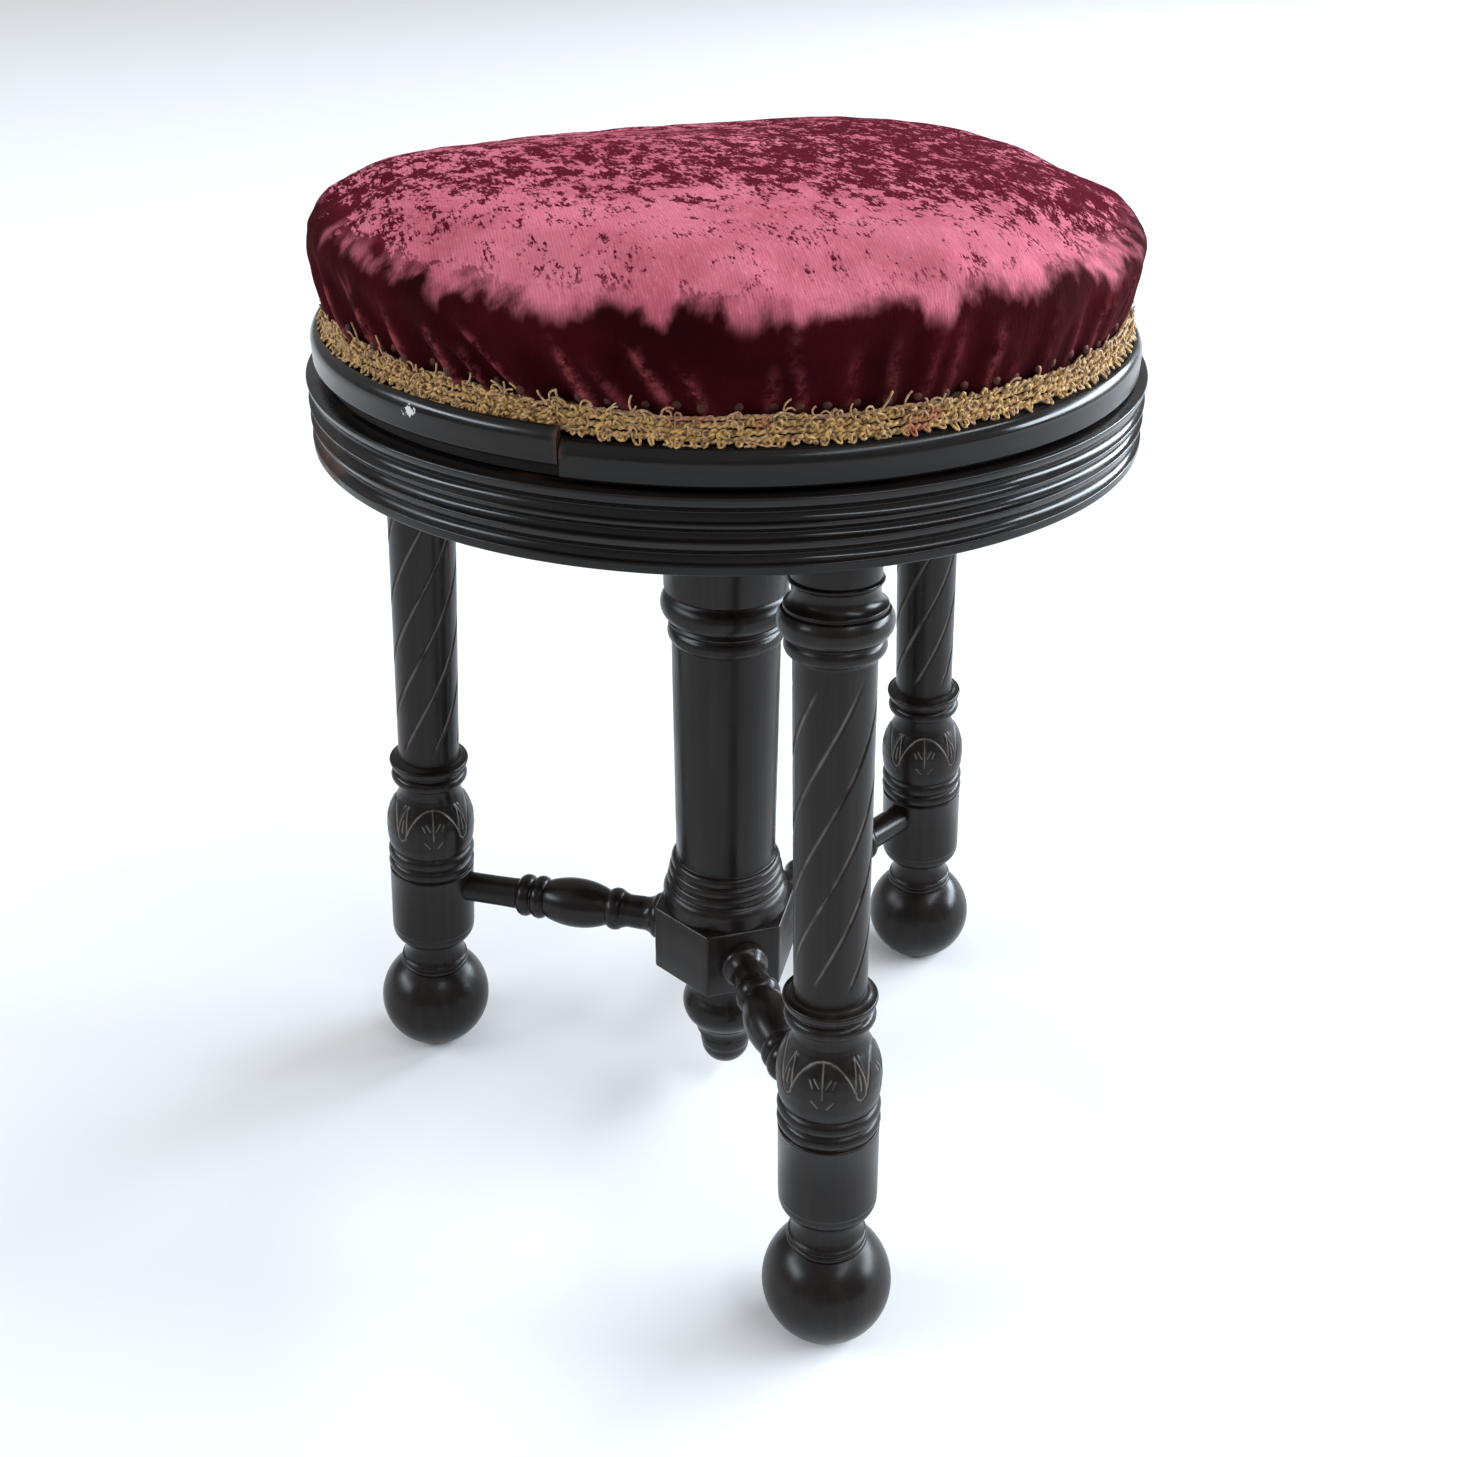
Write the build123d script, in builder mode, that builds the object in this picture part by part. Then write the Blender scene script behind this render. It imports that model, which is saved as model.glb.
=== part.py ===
"""A round piano stool: three turned legs, a turned column with a screw and nut, and a stuffed seat.

The origin is on the floor under the column, +Z is up and the front leg stands on -Y.
"""

import os
from math import asin, cos, degrees, radians, sin, tan

from build123d import *

os.makedirs("parts", exist_ok=True)

# Fits, in millimetres on the radius
glued_clearance = 0.12
running_clearance = 0.08
soft_clearance = 0.3
face_clearance = 0.2

# Stance: the legs lean in as they rise
leg_azimuths = {"front": 0.0, "left": -120.0, "right": 120.0}
apron_radius = 176.0
foot_inset = 4.8
leg_splay = 3.88
frame_height = 400.5

# Leg: built up from the floor to the shaft, and down from the board to the shaft
foot_radius = 29.3
foot_height = 55.0
foot_worn = 0.8
foot_sole_radius = 13.0
foot_chords = 4
ankle_height = 11.5
ankle_radius = 15.8
ankle_lip_radius = 18.3
ankle_lip_height = 4.8
block_ovolo = 11.0
block_height = 39.0
block_radius = 22.1
leg_bead_height = 6.75
leg_groove_depth = 1.4
bulb_height = 32.0
bulb_radius = 22.7
bulb_neck_radius = 15.9
bulb_neck_height = 8.0
bulb_chords = 3
collar_bead_height = 7.2
collar_radius = 19.8
shaft_radius = 16.3
capital_neck_height = 16.5
capital_neck_radius = 17.0
scotia_height = 11.1
torus_height = 11.4
torus_radius = 22.4
cove_height = 7.6
leg_tenon_radius = 10.0
leg_tenon_length = 13.0

# Stretchers: turned rails between the hub and the legs
stretcher_height = 103.0
stretcher_radius = 8.0
stretcher_leg_tenon = 16.0
stretcher_hub_tenon = 14.0
stretcher_tenon_radius = 6.5
flange_length = 6.0
flange_radius = 12.0
waist_length = 16.5
waist_radius = 8.8
ring_length = 9.0
ring_radius = 11.0
barrel_length = 33.0
barrel_radius = 13.0
barrel_neck_radius = 10.0
barrel_chords = 3
rail_bead_length = 8.2
rail_bead_radius = 11.4

# Hub and drop finial
hub_across_flats = 66.0
hub_height = 37.5
hub_below_stretcher = 18.5
finial_dowel_radius = 9.0
finial_dowel_length = 15.0
finial_neck_height = 20.5
finial_neck_radius = 19.5
finial_ring_height = 18.0
finial_ring_radius = 22.7
finial_cup_height = 10.0
finial_cup_radius = 15.0
finial_button_length = 7.6
finial_button_radius = 13.4
finial_chords = 3

# Column
column_tenon_radius = 12.0
column_tenon_length = 15.0
plinth_height = 11.6
plinth_radius = 32.0
reed_height = 5.4
reed_radii = (30.0, 29.0, 28.0)
reed_groove_depth = 1.2
column_radius = 25.5
column_bead_heights = (8.0, 9.0, 14.0)
column_bead_radii = (27.0, 28.6, 30.6)
drum_height = 89.5
drum_radius = 29.4
spigot_radius = 24.0
column_bore_radius = 15.6

# Top board and apron
top_board_thickness = 18.0
apron_width = 10.1
apron_drop = 1.0
apron_band = 3.5
apron_reed_heights = (8.3, 6.7)
apron_groove_depth = 3.2
apron_cove = 2.5

# Nut, screw and stop
nut_flange_thickness = 4.0
nut_flange_radius = 42.0
nut_sleeve_radius = 18.0
nut_sleeve_length = 30.0
screw_radius = 11.0
seat_rise = 120.0
collar_height = 12.0
stop_collar_radius = 14.5
stop_pin_radius = 2.0
screw_tail = 6.0
washer_thickness = 2.0
washer_radius = 30.0

# Wood screws of the nut's flange and of the seat's plate
wood_screw_radius = 2.2
wood_screw_length = 11.0
wood_screw_head_radius = 4.4
wood_screw_head_height = 2.4
wood_screw_count = 3
nut_screw_circle = 33.0
plate_screw_circle = 72.0

# Seat
plate_thickness = 4.2
plate_boss_radius = 26.0
plate_arm_width = 22.0
seat_gap = 1.3
seat_board_thickness = 13.9
rebate_height = 10.5
rebate_depth = 6.5
rim_setback = 3.8
rim_width = 4.2
rim_height = 13.6
rim_round = 3.6
rim_chords = 3
rim_lift = 4.5
rim_joint_azimuth = -35.3
rim_joint_gap = 0.4

# Upholstery
cover_thickness = 1.3
pad_overhang = 2.0
pad_bulge_height = 28.5
pad_shoulder_inset = 30.0
pad_shoulder_drop = 9.0
pad_height = 54.5
wadding = 5.0
gimp_thickness = 4.0
gimp_height = 9.5

# Radii that follow from the apron's
foot_circle_radius = apron_radius - foot_inset
top_board_radius = apron_radius - apron_width
rim_radius = apron_radius - rim_setback
seat_board_radius = rim_radius - rim_width
rebate_radius = seat_board_radius - rebate_depth
pad_bulge_radius = seat_board_radius + pad_overhang
pad_shoulder_radius = pad_bulge_radius - pad_shoulder_inset

# Heights that follow from the sizes above
board_underside = frame_height - top_board_thickness
nut_top = frame_height + nut_flange_thickness
washer_bottom = nut_top + face_clearance
plate_bottom = washer_bottom + washer_thickness + face_clearance
seat_underside = plate_bottom + plate_thickness
ledge = seat_underside + seat_board_thickness
rebate_top = ledge + rebate_height
hub_bottom = stretcher_height - hub_below_stretcher
hub_top = hub_bottom + hub_height
sleeve_bottom = frame_height - nut_sleeve_length
stop_top = sleeve_bottom - seat_rise - soft_clearance
stop_bottom = stop_top - collar_height
screw_bottom = stop_bottom - screw_tail
bore_bottom = screw_bottom - screw_tail


def outward(azimuth):
    """The level direction from the column towards an azimuth, which counts from -Y towards +X."""
    return Vector(sin(radians(azimuth)), -cos(radians(azimuth)), 0)


def leg_plane(azimuth):
    """A plane through a leg's own axis: x is the radius from that axis and y runs up the leg."""
    out = outward(azimuth)
    up = Vector(0, 0, 1) * cos(radians(leg_splay)) - out * sin(radians(leg_splay))
    side = out * cos(radians(leg_splay)) + Vector(0, 0, 1) * sin(radians(leg_splay))
    return Plane(origin=out * foot_circle_radius, x_dir=side, z_dir=side.cross(up))


def rail_plane(azimuth):
    """A plane through a stretcher's axis: x is the distance from the column and y is up."""
    out = outward(azimuth)
    return Plane(origin=(0, 0, stretcher_height), x_dir=out, z_dir=out.cross(Vector(0, 0, 1)))


def chords(start, middle, end, count):
    """Points along the arc through three points, so that a round turning has few faces."""
    arc = ThreePointArc(start, middle, end, mode=Mode.PRIVATE)
    return [arc @ (step / count) for step in range(count + 1)]


def on_circle(centre, radius, angle):
    """The point of a circle at an angle, which counts from the outline's x towards its y."""
    return centre[0] + radius * cos(radians(angle)), centre[1] + radius * sin(radians(angle))


def bead(groove, start, end, radius):
    """A turned bead between two grooves, as the points (radius, height) of its outline."""
    quarter = (end - start) / 4
    return [(groove, start), (radius, start + quarter), (radius, end - quarter), (groove, end)]


def swap(points):
    """The same outline for a turning whose axis lies along x."""
    return [(along, radius) for radius, along in points]


def wood_screws(circle, top):
    """Countersunk screws on a circle, with their heads level with a height."""
    with BuildPart() as screws:
        with BuildSketch(Plane.XZ):
            with BuildLine():
                Polyline(
                    (circle, top),
                    (circle + wood_screw_head_radius, top),
                    (circle + wood_screw_radius, top - wood_screw_head_height),
                    (circle + wood_screw_radius, top - wood_screw_length),
                    (circle, top - wood_screw_length),
                    close=True,
                )
            make_face()
        revolve(axis=Axis((circle, 0, 0), (0, 0, 1)))
    turned = [
        screws.part.rotate(Axis.Z, 360 / wood_screw_count * number)
        for number in range(wood_screw_count)
    ]
    return Compound(children=turned)


# The legs, one turning for each corner
leg_top = board_underside / cos(radians(leg_splay))
block_start = foot_height + ankle_height + block_ovolo
beads_start = block_start + block_height
bulb_start = beads_start + 2 * leg_bead_height
bulb_neck_start = bulb_start + bulb_height
collar_start = bulb_neck_start + bulb_neck_height
collar_middle = collar_start + collar_bead_height
shaft_start = collar_middle + collar_bead_height
neck_start = leg_top - capital_neck_height
scotia_start = neck_start - scotia_height
torus_start = scotia_start - torus_height
cove_start = torus_start - cove_height
groove_radius = block_radius - leg_groove_depth
leg_axis_at_rail = foot_circle_radius - stretcher_height * tan(radians(leg_splay))

for name, azimuth in leg_azimuths.items():
    plane = leg_plane(azimuth)
    axis = Axis(plane.origin, plane.y_dir)
    with BuildPart() as leg:
        with BuildSketch(plane):
            with BuildLine():
                Polyline(
                    (0, -foot_worn),
                    *chords(
                        (foot_sole_radius, -foot_worn),
                        (foot_radius, foot_height / 2),
                        (ankle_lip_radius, foot_height - ankle_lip_height),
                        foot_chords,
                    ),
                    (ankle_lip_radius, foot_height),
                    (ankle_radius, block_start - block_ovolo),
                    (block_radius, block_start),
                    (block_radius, beads_start - leg_groove_depth),
                    *bead(groove_radius, beads_start, beads_start + leg_bead_height, block_radius),
                    *bead(groove_radius, beads_start + leg_bead_height, bulb_start, block_radius)[1:3],
                    *chords(
                        (groove_radius, bulb_start),
                        (bulb_radius, bulb_start + 0.4 * bulb_height),
                        (bulb_radius - leg_groove_depth, bulb_start + 0.7 * bulb_height),
                        bulb_chords,
                    ),
                    (bulb_neck_radius, bulb_neck_start),
                    *bead(bulb_neck_radius, collar_start, collar_middle, collar_radius),
                    *bead(bulb_neck_radius, collar_middle, shaft_start, collar_radius)[1:3],
                    (shaft_radius, shaft_start),
                    (shaft_radius, cove_start),
                    (torus_radius - leg_groove_depth, torus_start),
                    (torus_radius, torus_start + torus_height / 4),
                    (torus_radius, scotia_start - torus_height / 4),
                    (torus_radius - leg_groove_depth, scotia_start),
                    (capital_neck_radius, neck_start),
                    (capital_neck_radius, leg_top + capital_neck_radius),
                    (0, leg_top + capital_neck_radius),
                    close=True,
                )
            make_face()
        revolve(axis=axis)
        split(bisect_by=Plane.XY, keep=Keep.TOP)
        split(bisect_by=Plane.XY.offset(board_underside), keep=Keep.BOTTOM)
        with BuildSketch(plane):
            with BuildLine():
                Polyline(
                    (0, leg_top - leg_tenon_radius),
                    (leg_tenon_radius, leg_top - leg_tenon_radius),
                    (leg_tenon_radius, leg_top + leg_tenon_length),
                    (0, leg_top + leg_tenon_length),
                    close=True,
                )
            make_face()
        revolve(axis=axis)
        with BuildSketch(Plane((0, 0, stretcher_height), outward(azimuth + 90), outward(azimuth))):
            Circle(stretcher_radius + glued_clearance)
        extrude(amount=leg_axis_at_rail, mode=Mode.SUBTRACT)
    leg.part.label = f"{name}_leg"
    export_step(leg.part, f"parts/{name}_leg.step")

# The stretchers, from the hub's face out into each leg
hub_face = hub_across_flats / 2
waist_start = hub_face + flange_length
ring_start = waist_start + waist_length
barrel_start = ring_start + ring_length
rail_beads_start = barrel_start + barrel_length
rail_beads_middle = rail_beads_start + rail_bead_length
plain_start = rail_beads_middle + rail_bead_length
rail_end = leg_axis_at_rail - block_radius + stretcher_leg_tenon

for name, azimuth in leg_azimuths.items():
    plane = rail_plane(azimuth)
    with BuildPart() as stretcher:
        with BuildSketch(plane):
            with BuildLine():
                Polyline(
                    (hub_face - stretcher_hub_tenon, 0),
                    (hub_face - stretcher_hub_tenon, stretcher_tenon_radius),
                    (hub_face, stretcher_tenon_radius),
                    (hub_face, flange_radius),
                    (waist_start, flange_radius),
                    (waist_start + waist_length / 2, waist_radius),
                    *swap(bead(waist_radius, ring_start, barrel_start, ring_radius)),
                    *chords(
                        (barrel_start, barrel_neck_radius),
                        (barrel_start + 0.55 * barrel_length, barrel_radius),
                        (rail_beads_start, barrel_neck_radius),
                        barrel_chords,
                    ),
                    *swap(
                        bead(barrel_neck_radius, rail_beads_start, rail_beads_middle, rail_bead_radius)
                    )[1:],
                    *swap(
                        bead(barrel_neck_radius, rail_beads_middle, plain_start, rail_bead_radius)
                    )[1:3],
                    (plain_start, stretcher_radius),
                    (rail_end, stretcher_radius),
                    (rail_end, 0),
                    close=True,
                )
            make_face()
        revolve(axis=Axis(plane.origin, plane.x_dir))
    stretcher.part.label = f"{name}_stretcher"
    export_step(stretcher.part, f"parts/{name}_stretcher.step")

# The six-sided hub, with a socket for each rail, the column and the finial
with BuildPart() as stretcher_hub:
    with BuildSketch(Plane.XY.offset(hub_bottom)):
        RegularPolygon(hub_across_flats / 2, 6, major_radius=False)
    extrude(amount=hub_height)
    with BuildSketch(Plane.XY.offset(hub_top)):
        Circle(column_tenon_radius + glued_clearance)
    extrude(amount=-column_tenon_length - face_clearance, mode=Mode.SUBTRACT)
    with BuildSketch(Plane.XY.offset(hub_bottom)):
        Circle(finial_dowel_radius + glued_clearance)
    extrude(amount=finial_dowel_length + face_clearance, mode=Mode.SUBTRACT)
    for azimuth in leg_azimuths.values():
        socket_mouth = outward(azimuth) * hub_face + Vector(0, 0, stretcher_height)
        with BuildSketch(Plane(socket_mouth, outward(azimuth + 90), outward(azimuth))):
            Circle(stretcher_tenon_radius + glued_clearance)
        extrude(amount=-stretcher_hub_tenon - face_clearance, mode=Mode.SUBTRACT)
stretcher_hub.part.label = "stretcher_hub"
export_step(stretcher_hub.part, "parts/stretcher_hub.step")

# The drop finial under the hub
finial_ring_top = hub_bottom - finial_neck_height
finial_cup_top = finial_ring_top - finial_ring_height
finial_button_top = finial_cup_top - finial_cup_height
finial_button_bottom = finial_button_top - finial_button_length - finial_button_radius

with BuildPart() as drop_finial:
    with BuildSketch(Plane.XZ):
        with BuildLine():
            Polyline(
                (0, hub_bottom + finial_dowel_length),
                (finial_dowel_radius, hub_bottom + finial_dowel_length),
                (finial_dowel_radius, hub_bottom),
                (finial_neck_radius, hub_bottom),
                *chords(
                    (finial_neck_radius, finial_ring_top),
                    (finial_ring_radius, (finial_ring_top + finial_cup_top) / 2),
                    (finial_neck_radius, finial_cup_top),
                    finial_chords,
                ),
                (finial_cup_radius, finial_button_top),
                (finial_button_radius, finial_button_top),
                *chords(
                    (finial_button_radius, finial_button_top - finial_button_length),
                    (0.75 * finial_button_radius, finial_button_bottom + 0.35 * finial_button_radius),
                    (0, finial_button_bottom),
                    finial_chords,
                ),
                close=True,
            )
        make_face()
    revolve(axis=Axis.Z)
drop_finial.part.label = "drop_finial"
export_step(drop_finial.part, "parts/drop_finial.step")

# The centre column, bored from its head for the nut and the screw
reeds_start = hub_top + plinth_height
column_shaft_start = reeds_start + len(reed_radii) * reed_height
drum_start = board_underside - drum_height
column_beads_start = drum_start - sum(column_bead_heights)

with BuildPart() as centre_column:
    with BuildSketch(Plane.XZ):
        with BuildLine():
            foot_points = [
                (0, hub_top - column_tenon_length),
                (column_tenon_radius, hub_top - column_tenon_length),
                (column_tenon_radius, hub_top),
                (plinth_radius, hub_top),
                (plinth_radius, hub_top + 0.4 * plinth_height),
                (reed_radii[0] - reed_groove_depth, reeds_start),
            ]
            for number, radius in enumerate(reed_radii):
                start = reeds_start + number * reed_height
                foot_points += bead(radius - reed_groove_depth, start, start + reed_height, radius)[1:]
            head_points = [
                (column_radius, column_shaft_start),
                (column_radius, column_beads_start),
            ]
            start = column_beads_start
            for rise, radius in zip(column_bead_heights, column_bead_radii):
                head_points += bead(column_radius, start, start + rise, radius)[1:]
                start += rise
            Polyline(
                *foot_points,
                *head_points,
                (drum_radius, drum_start),
                (drum_radius, board_underside),
                (spigot_radius, board_underside),
                (spigot_radius, frame_height),
                (0, frame_height),
                close=True,
            )
        make_face()
    revolve(axis=Axis.Z)
    with BuildSketch(Plane.XY.offset(bore_bottom)):
        Circle(column_bore_radius)
    extrude(amount=frame_height - bore_bottom, mode=Mode.SUBTRACT)
    with BuildSketch(Plane.XY.offset(sleeve_bottom)):
        Circle(nut_sleeve_radius + glued_clearance)
    extrude(amount=nut_sleeve_length, mode=Mode.SUBTRACT)
centre_column.part.label = "centre_column"
export_step(centre_column.part, "parts/centre_column.step")

# The top board, with the column's head and the legs' tenons let into it
with BuildPart() as top_board:
    with BuildSketch(Plane.XY.offset(board_underside)):
        Circle(top_board_radius)
        Circle(spigot_radius + glued_clearance, mode=Mode.SUBTRACT)
    extrude(amount=top_board_thickness)
    for azimuth in leg_azimuths.values():
        plane = leg_plane(azimuth)
        mortise = leg_tenon_radius + glued_clearance
        with BuildSketch(plane):
            with BuildLine():
                Polyline(
                    (0, leg_top - leg_tenon_radius),
                    (mortise, leg_top - leg_tenon_radius),
                    (mortise, leg_top + leg_tenon_length + face_clearance),
                    (0, leg_top + leg_tenon_length + face_clearance),
                    close=True,
                )
            make_face()
        revolve(axis=Axis(plane.origin, plane.y_dir), mode=Mode.SUBTRACT)
    with BuildSketch(Plane.XY.offset(frame_height)):
        with PolarLocations(nut_screw_circle, wood_screw_count):
            Circle(wood_screw_radius + glued_clearance)
    extrude(amount=-wood_screw_length, mode=Mode.SUBTRACT)
top_board.part.label = "top_board"
export_step(top_board.part, "parts/top_board.step")

# The moulded apron hoop: coves that end in sharp arrises
apron_top = seat_underside - seat_gap
apron_bottom = board_underside - apron_drop
apron_bore = top_board_radius + glued_clearance
apron_groove_radius = apron_radius - apron_groove_depth

with BuildPart() as apron_ring:
    with BuildSketch(Plane.XZ):
        with BuildLine():
            arris = apron_bottom + apron_band
            apron_points = [
                (apron_bore, apron_bottom),
                (apron_radius, apron_bottom),
                (apron_radius, arris),
            ]
            for rise in apron_reed_heights:
                apron_points += [(apron_groove_radius, arris + apron_cove), (apron_radius, arris + rise)]
                arris += rise
            Polyline(
                *apron_points,
                (apron_groove_radius, arris + apron_cove),
                (apron_radius, apron_top),
                (apron_bore, apron_top),
                close=True,
            )
        make_face()
    revolve(axis=Axis.Z)
apron_ring.part.label = "apron_ring"
export_step(apron_ring.part, "parts/apron_ring.step")

# The nut: a flange on the board and a sleeve down the column
with BuildPart() as screw_nut:
    with BuildSketch(Plane.XY.offset(frame_height)):
        Circle(nut_flange_radius)
    extrude(amount=nut_flange_thickness)
    with BuildSketch(Plane.XY.offset(sleeve_bottom)):
        Circle(nut_sleeve_radius)
    extrude(amount=nut_sleeve_length)
    with BuildSketch(Plane.XY.offset(sleeve_bottom)):
        Circle(screw_radius + running_clearance)
    extrude(amount=nut_top - sleeve_bottom, mode=Mode.SUBTRACT)
    with Locations(Location((0, 0, nut_top))):
        with PolarLocations(nut_screw_circle, wood_screw_count):
            CounterSinkHole(
                wood_screw_radius + glued_clearance, wood_screw_head_radius + glued_clearance
            )
screw_nut.part.label = "screw_nut"
export_step(screw_nut.part, "parts/screw_nut.step")

nut_screws = wood_screws(nut_screw_circle, nut_top)
nut_screws.label = "nut_screws"
export_step(nut_screws, "parts/nut_screws.step")

# The leather washer that the plate turns on
with BuildPart() as leather_washer:
    with BuildSketch(Plane.XY.offset(washer_bottom)):
        Circle(washer_radius)
        Circle(screw_radius + soft_clearance, mode=Mode.SUBTRACT)
    extrude(amount=washer_thickness)
leather_washer.part.label = "leather_washer"
export_step(leather_washer.part, "parts/leather_washer.step")

# The screw, with a cross hole for the stop's pin
pin_height = (stop_bottom + stop_top) / 2
pin_plane = Plane.XZ.offset(-stop_collar_radius)

with BuildPart() as seat_screw:
    with BuildSketch(Plane.XY.offset(screw_bottom)):
        Circle(screw_radius)
    extrude(amount=seat_underside - screw_bottom)
    with BuildSketch(pin_plane):
        with Locations((0, pin_height)):
            Circle(stop_pin_radius + glued_clearance)
    extrude(amount=2 * stop_collar_radius, mode=Mode.SUBTRACT)
seat_screw.part.label = "seat_screw"
export_step(seat_screw.part, "parts/seat_screw.step")

with BuildPart() as stop_collar:
    with BuildSketch(Plane.XY.offset(stop_bottom)):
        Circle(stop_collar_radius)
        Circle(screw_radius + glued_clearance, mode=Mode.SUBTRACT)
    extrude(amount=collar_height)
    with BuildSketch(pin_plane):
        with Locations((0, pin_height)):
            Circle(stop_pin_radius + glued_clearance)
    extrude(amount=2 * stop_collar_radius, mode=Mode.SUBTRACT)
stop_collar.part.label = "stop_collar"
export_step(stop_collar.part, "parts/stop_collar.step")

with BuildPart() as stop_pin:
    with BuildSketch(Plane.XZ.offset(-stop_collar_radius + face_clearance)):
        with Locations((0, pin_height)):
            Circle(stop_pin_radius)
    extrude(amount=2 * (stop_collar_radius - face_clearance))
stop_pin.part.label = "stop_pin"
export_step(stop_pin.part, "parts/stop_pin.step")

# The seat's iron plate: a boss on the screw with an arm to each wood screw
with BuildPart() as seat_plate:
    with BuildSketch(Plane.XY.offset(plate_bottom)):
        Circle(plate_boss_radius)
        for number in range(wood_screw_count):
            turn = 360 / wood_screw_count * number
            with Locations(Location((0, 0, 0), (0, 0, turn))):
                with Locations((plate_screw_circle / 2, 0)):
                    SlotCenterToCenter(plate_screw_circle, plate_arm_width)
        Circle(screw_radius + glued_clearance, mode=Mode.SUBTRACT)
    extrude(amount=plate_thickness)
    with BuildSketch(Plane.XY.offset(plate_bottom)):
        with PolarLocations(plate_screw_circle, wood_screw_count):
            Circle(wood_screw_head_radius + glued_clearance)
    extrude(amount=wood_screw_head_height, mode=Mode.SUBTRACT)
    with BuildSketch(Plane.XY.offset(plate_bottom)):
        with PolarLocations(plate_screw_circle, wood_screw_count):
            Circle(wood_screw_radius + glued_clearance)
    extrude(amount=plate_thickness, mode=Mode.SUBTRACT)
seat_plate.part.label = "seat_plate"
export_step(seat_plate.part, "parts/seat_plate.step")

with BuildPart() as plate_screw:
    with BuildSketch(Plane.XY.offset(plate_bottom + face_clearance)):
        with PolarLocations(plate_screw_circle, wood_screw_count):
            Circle(wood_screw_head_radius)
    extrude(amount=wood_screw_head_height - face_clearance)
    with BuildSketch(Plane.XY.offset(plate_bottom + wood_screw_head_height)):
        with PolarLocations(plate_screw_circle, wood_screw_count):
            Circle(wood_screw_radius)
    extrude(amount=wood_screw_length)
plate_screw.part.label = "seat_plate_screws"
export_step(plate_screw.part, "parts/seat_plate_screws.step")

# The seat's board, rebated for the edge of the velvet and the braid
with BuildPart() as seat_board:
    with BuildSketch(Plane.XY.offset(seat_underside)):
        Circle(seat_board_radius)
    extrude(amount=seat_board_thickness)
    with BuildSketch(Plane.XY.offset(ledge)):
        Circle(rebate_radius)
    extrude(amount=rebate_height)
    with BuildSketch(Plane.XY.offset(seat_underside)):
        with PolarLocations(plate_screw_circle, wood_screw_count):
            Circle(wood_screw_radius + glued_clearance)
    extrude(amount=wood_screw_length, mode=Mode.SUBTRACT)
seat_board.part.label = "seat_board"
export_step(seat_board.part, "parts/seat_board.step")

# The bullnose rim in three sawn segments; the left one has come up
rim_bore = seat_board_radius + glued_clearance
segment_turn = 360 / len(leg_azimuths)
segment_gap = rim_joint_gap / rim_radius / radians(1)
rim_segments = {"front_rim": 0, "back_rim": 1, "left_rim": 2}

for name, number in rim_segments.items():
    bottom = ledge - rim_height + (rim_lift if name == "left_rim" else 0)
    top = bottom + rim_height
    start_azimuth = rim_joint_azimuth + number * segment_turn + segment_gap / 2
    facing = outward(start_azimuth)
    plane = Plane((0, 0, 0), x_dir=facing, z_dir=facing.cross(Vector(0, 0, 1)))
    with BuildPart() as rim:
        with BuildSketch(plane):
            with BuildLine():
                Polyline(
                    (rim_bore, top),
                    (rim_bore, bottom),
                    (rim_radius, bottom),
                    *chords(
                        (rim_radius, top - rim_round),
                        (rim_radius - 0.29 * rim_round, top - 0.29 * rim_round),
                        (rim_radius - rim_round, top),
                        rim_chords,
                    ),
                    close=True,
                )
            make_face()
        revolve(axis=Axis.Z, revolution_arc=segment_turn - segment_gap)
    rim.part.label = name
    export_step(rim.part, f"parts/{name}.step")

# The pad: stuffing inside a velvet cover whose hem is nailed in the rebate
hem_radius = rebate_radius + soft_clearance + cover_thickness
hem_bottom = ledge + face_clearance
crown = rebate_top + pad_height
bulge = rebate_top + pad_bulge_height

# The velvet's outline is three arcs that run into each other: the drawn-in side, the roll, the crown
bulge_drop = crown - bulge
bulge_reach = pad_bulge_radius - hem_radius
side_radius = (bulge_reach**2 + pad_bulge_height**2) / (2 * bulge_reach)
side_turn = degrees(asin(pad_bulge_height / side_radius))
crown_radius = (pad_shoulder_radius**2 + pad_shoulder_drop**2) / (2 * pad_shoulder_drop)
roll_radius = (crown_radius**2 - pad_bulge_radius**2 - (crown_radius - bulge_drop) ** 2) / (
    2 * (crown_radius - pad_bulge_radius)
)
crown_turn = degrees(asin((pad_bulge_radius - roll_radius) / (crown_radius - roll_radius)))
side_middle = on_circle((pad_bulge_radius - side_radius, bulge), side_radius, -side_turn / 2)
roll_centre = (pad_bulge_radius - roll_radius, bulge)
roll_middle = on_circle(roll_centre, roll_radius, 45 - crown_turn / 2)
roll_end = on_circle(roll_centre, roll_radius, 90 - crown_turn)
crown_middle = on_circle((0, crown - crown_radius), crown_radius, 90 - crown_turn / 2)


def pad_core(inset, bottom):
    """The outline of what lies under the velvet and its wadding, set in from the velvet's hem."""
    return [
        (0, bottom),
        (hem_radius - inset, bottom),
        (hem_radius - inset, bulge - inset),
        (0, crown - wadding - inset),
    ]


with BuildPart() as seat_stuffing:
    with BuildSketch(Plane.XZ):
        with BuildLine():
            Polyline(
                *pad_core(cover_thickness + soft_clearance, rebate_top + face_clearance), close=True
            )
        make_face()
    revolve(axis=Axis.Z)
seat_stuffing.part.label = "seat_stuffing"
export_step(seat_stuffing.part, "parts/seat_stuffing.step")

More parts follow.
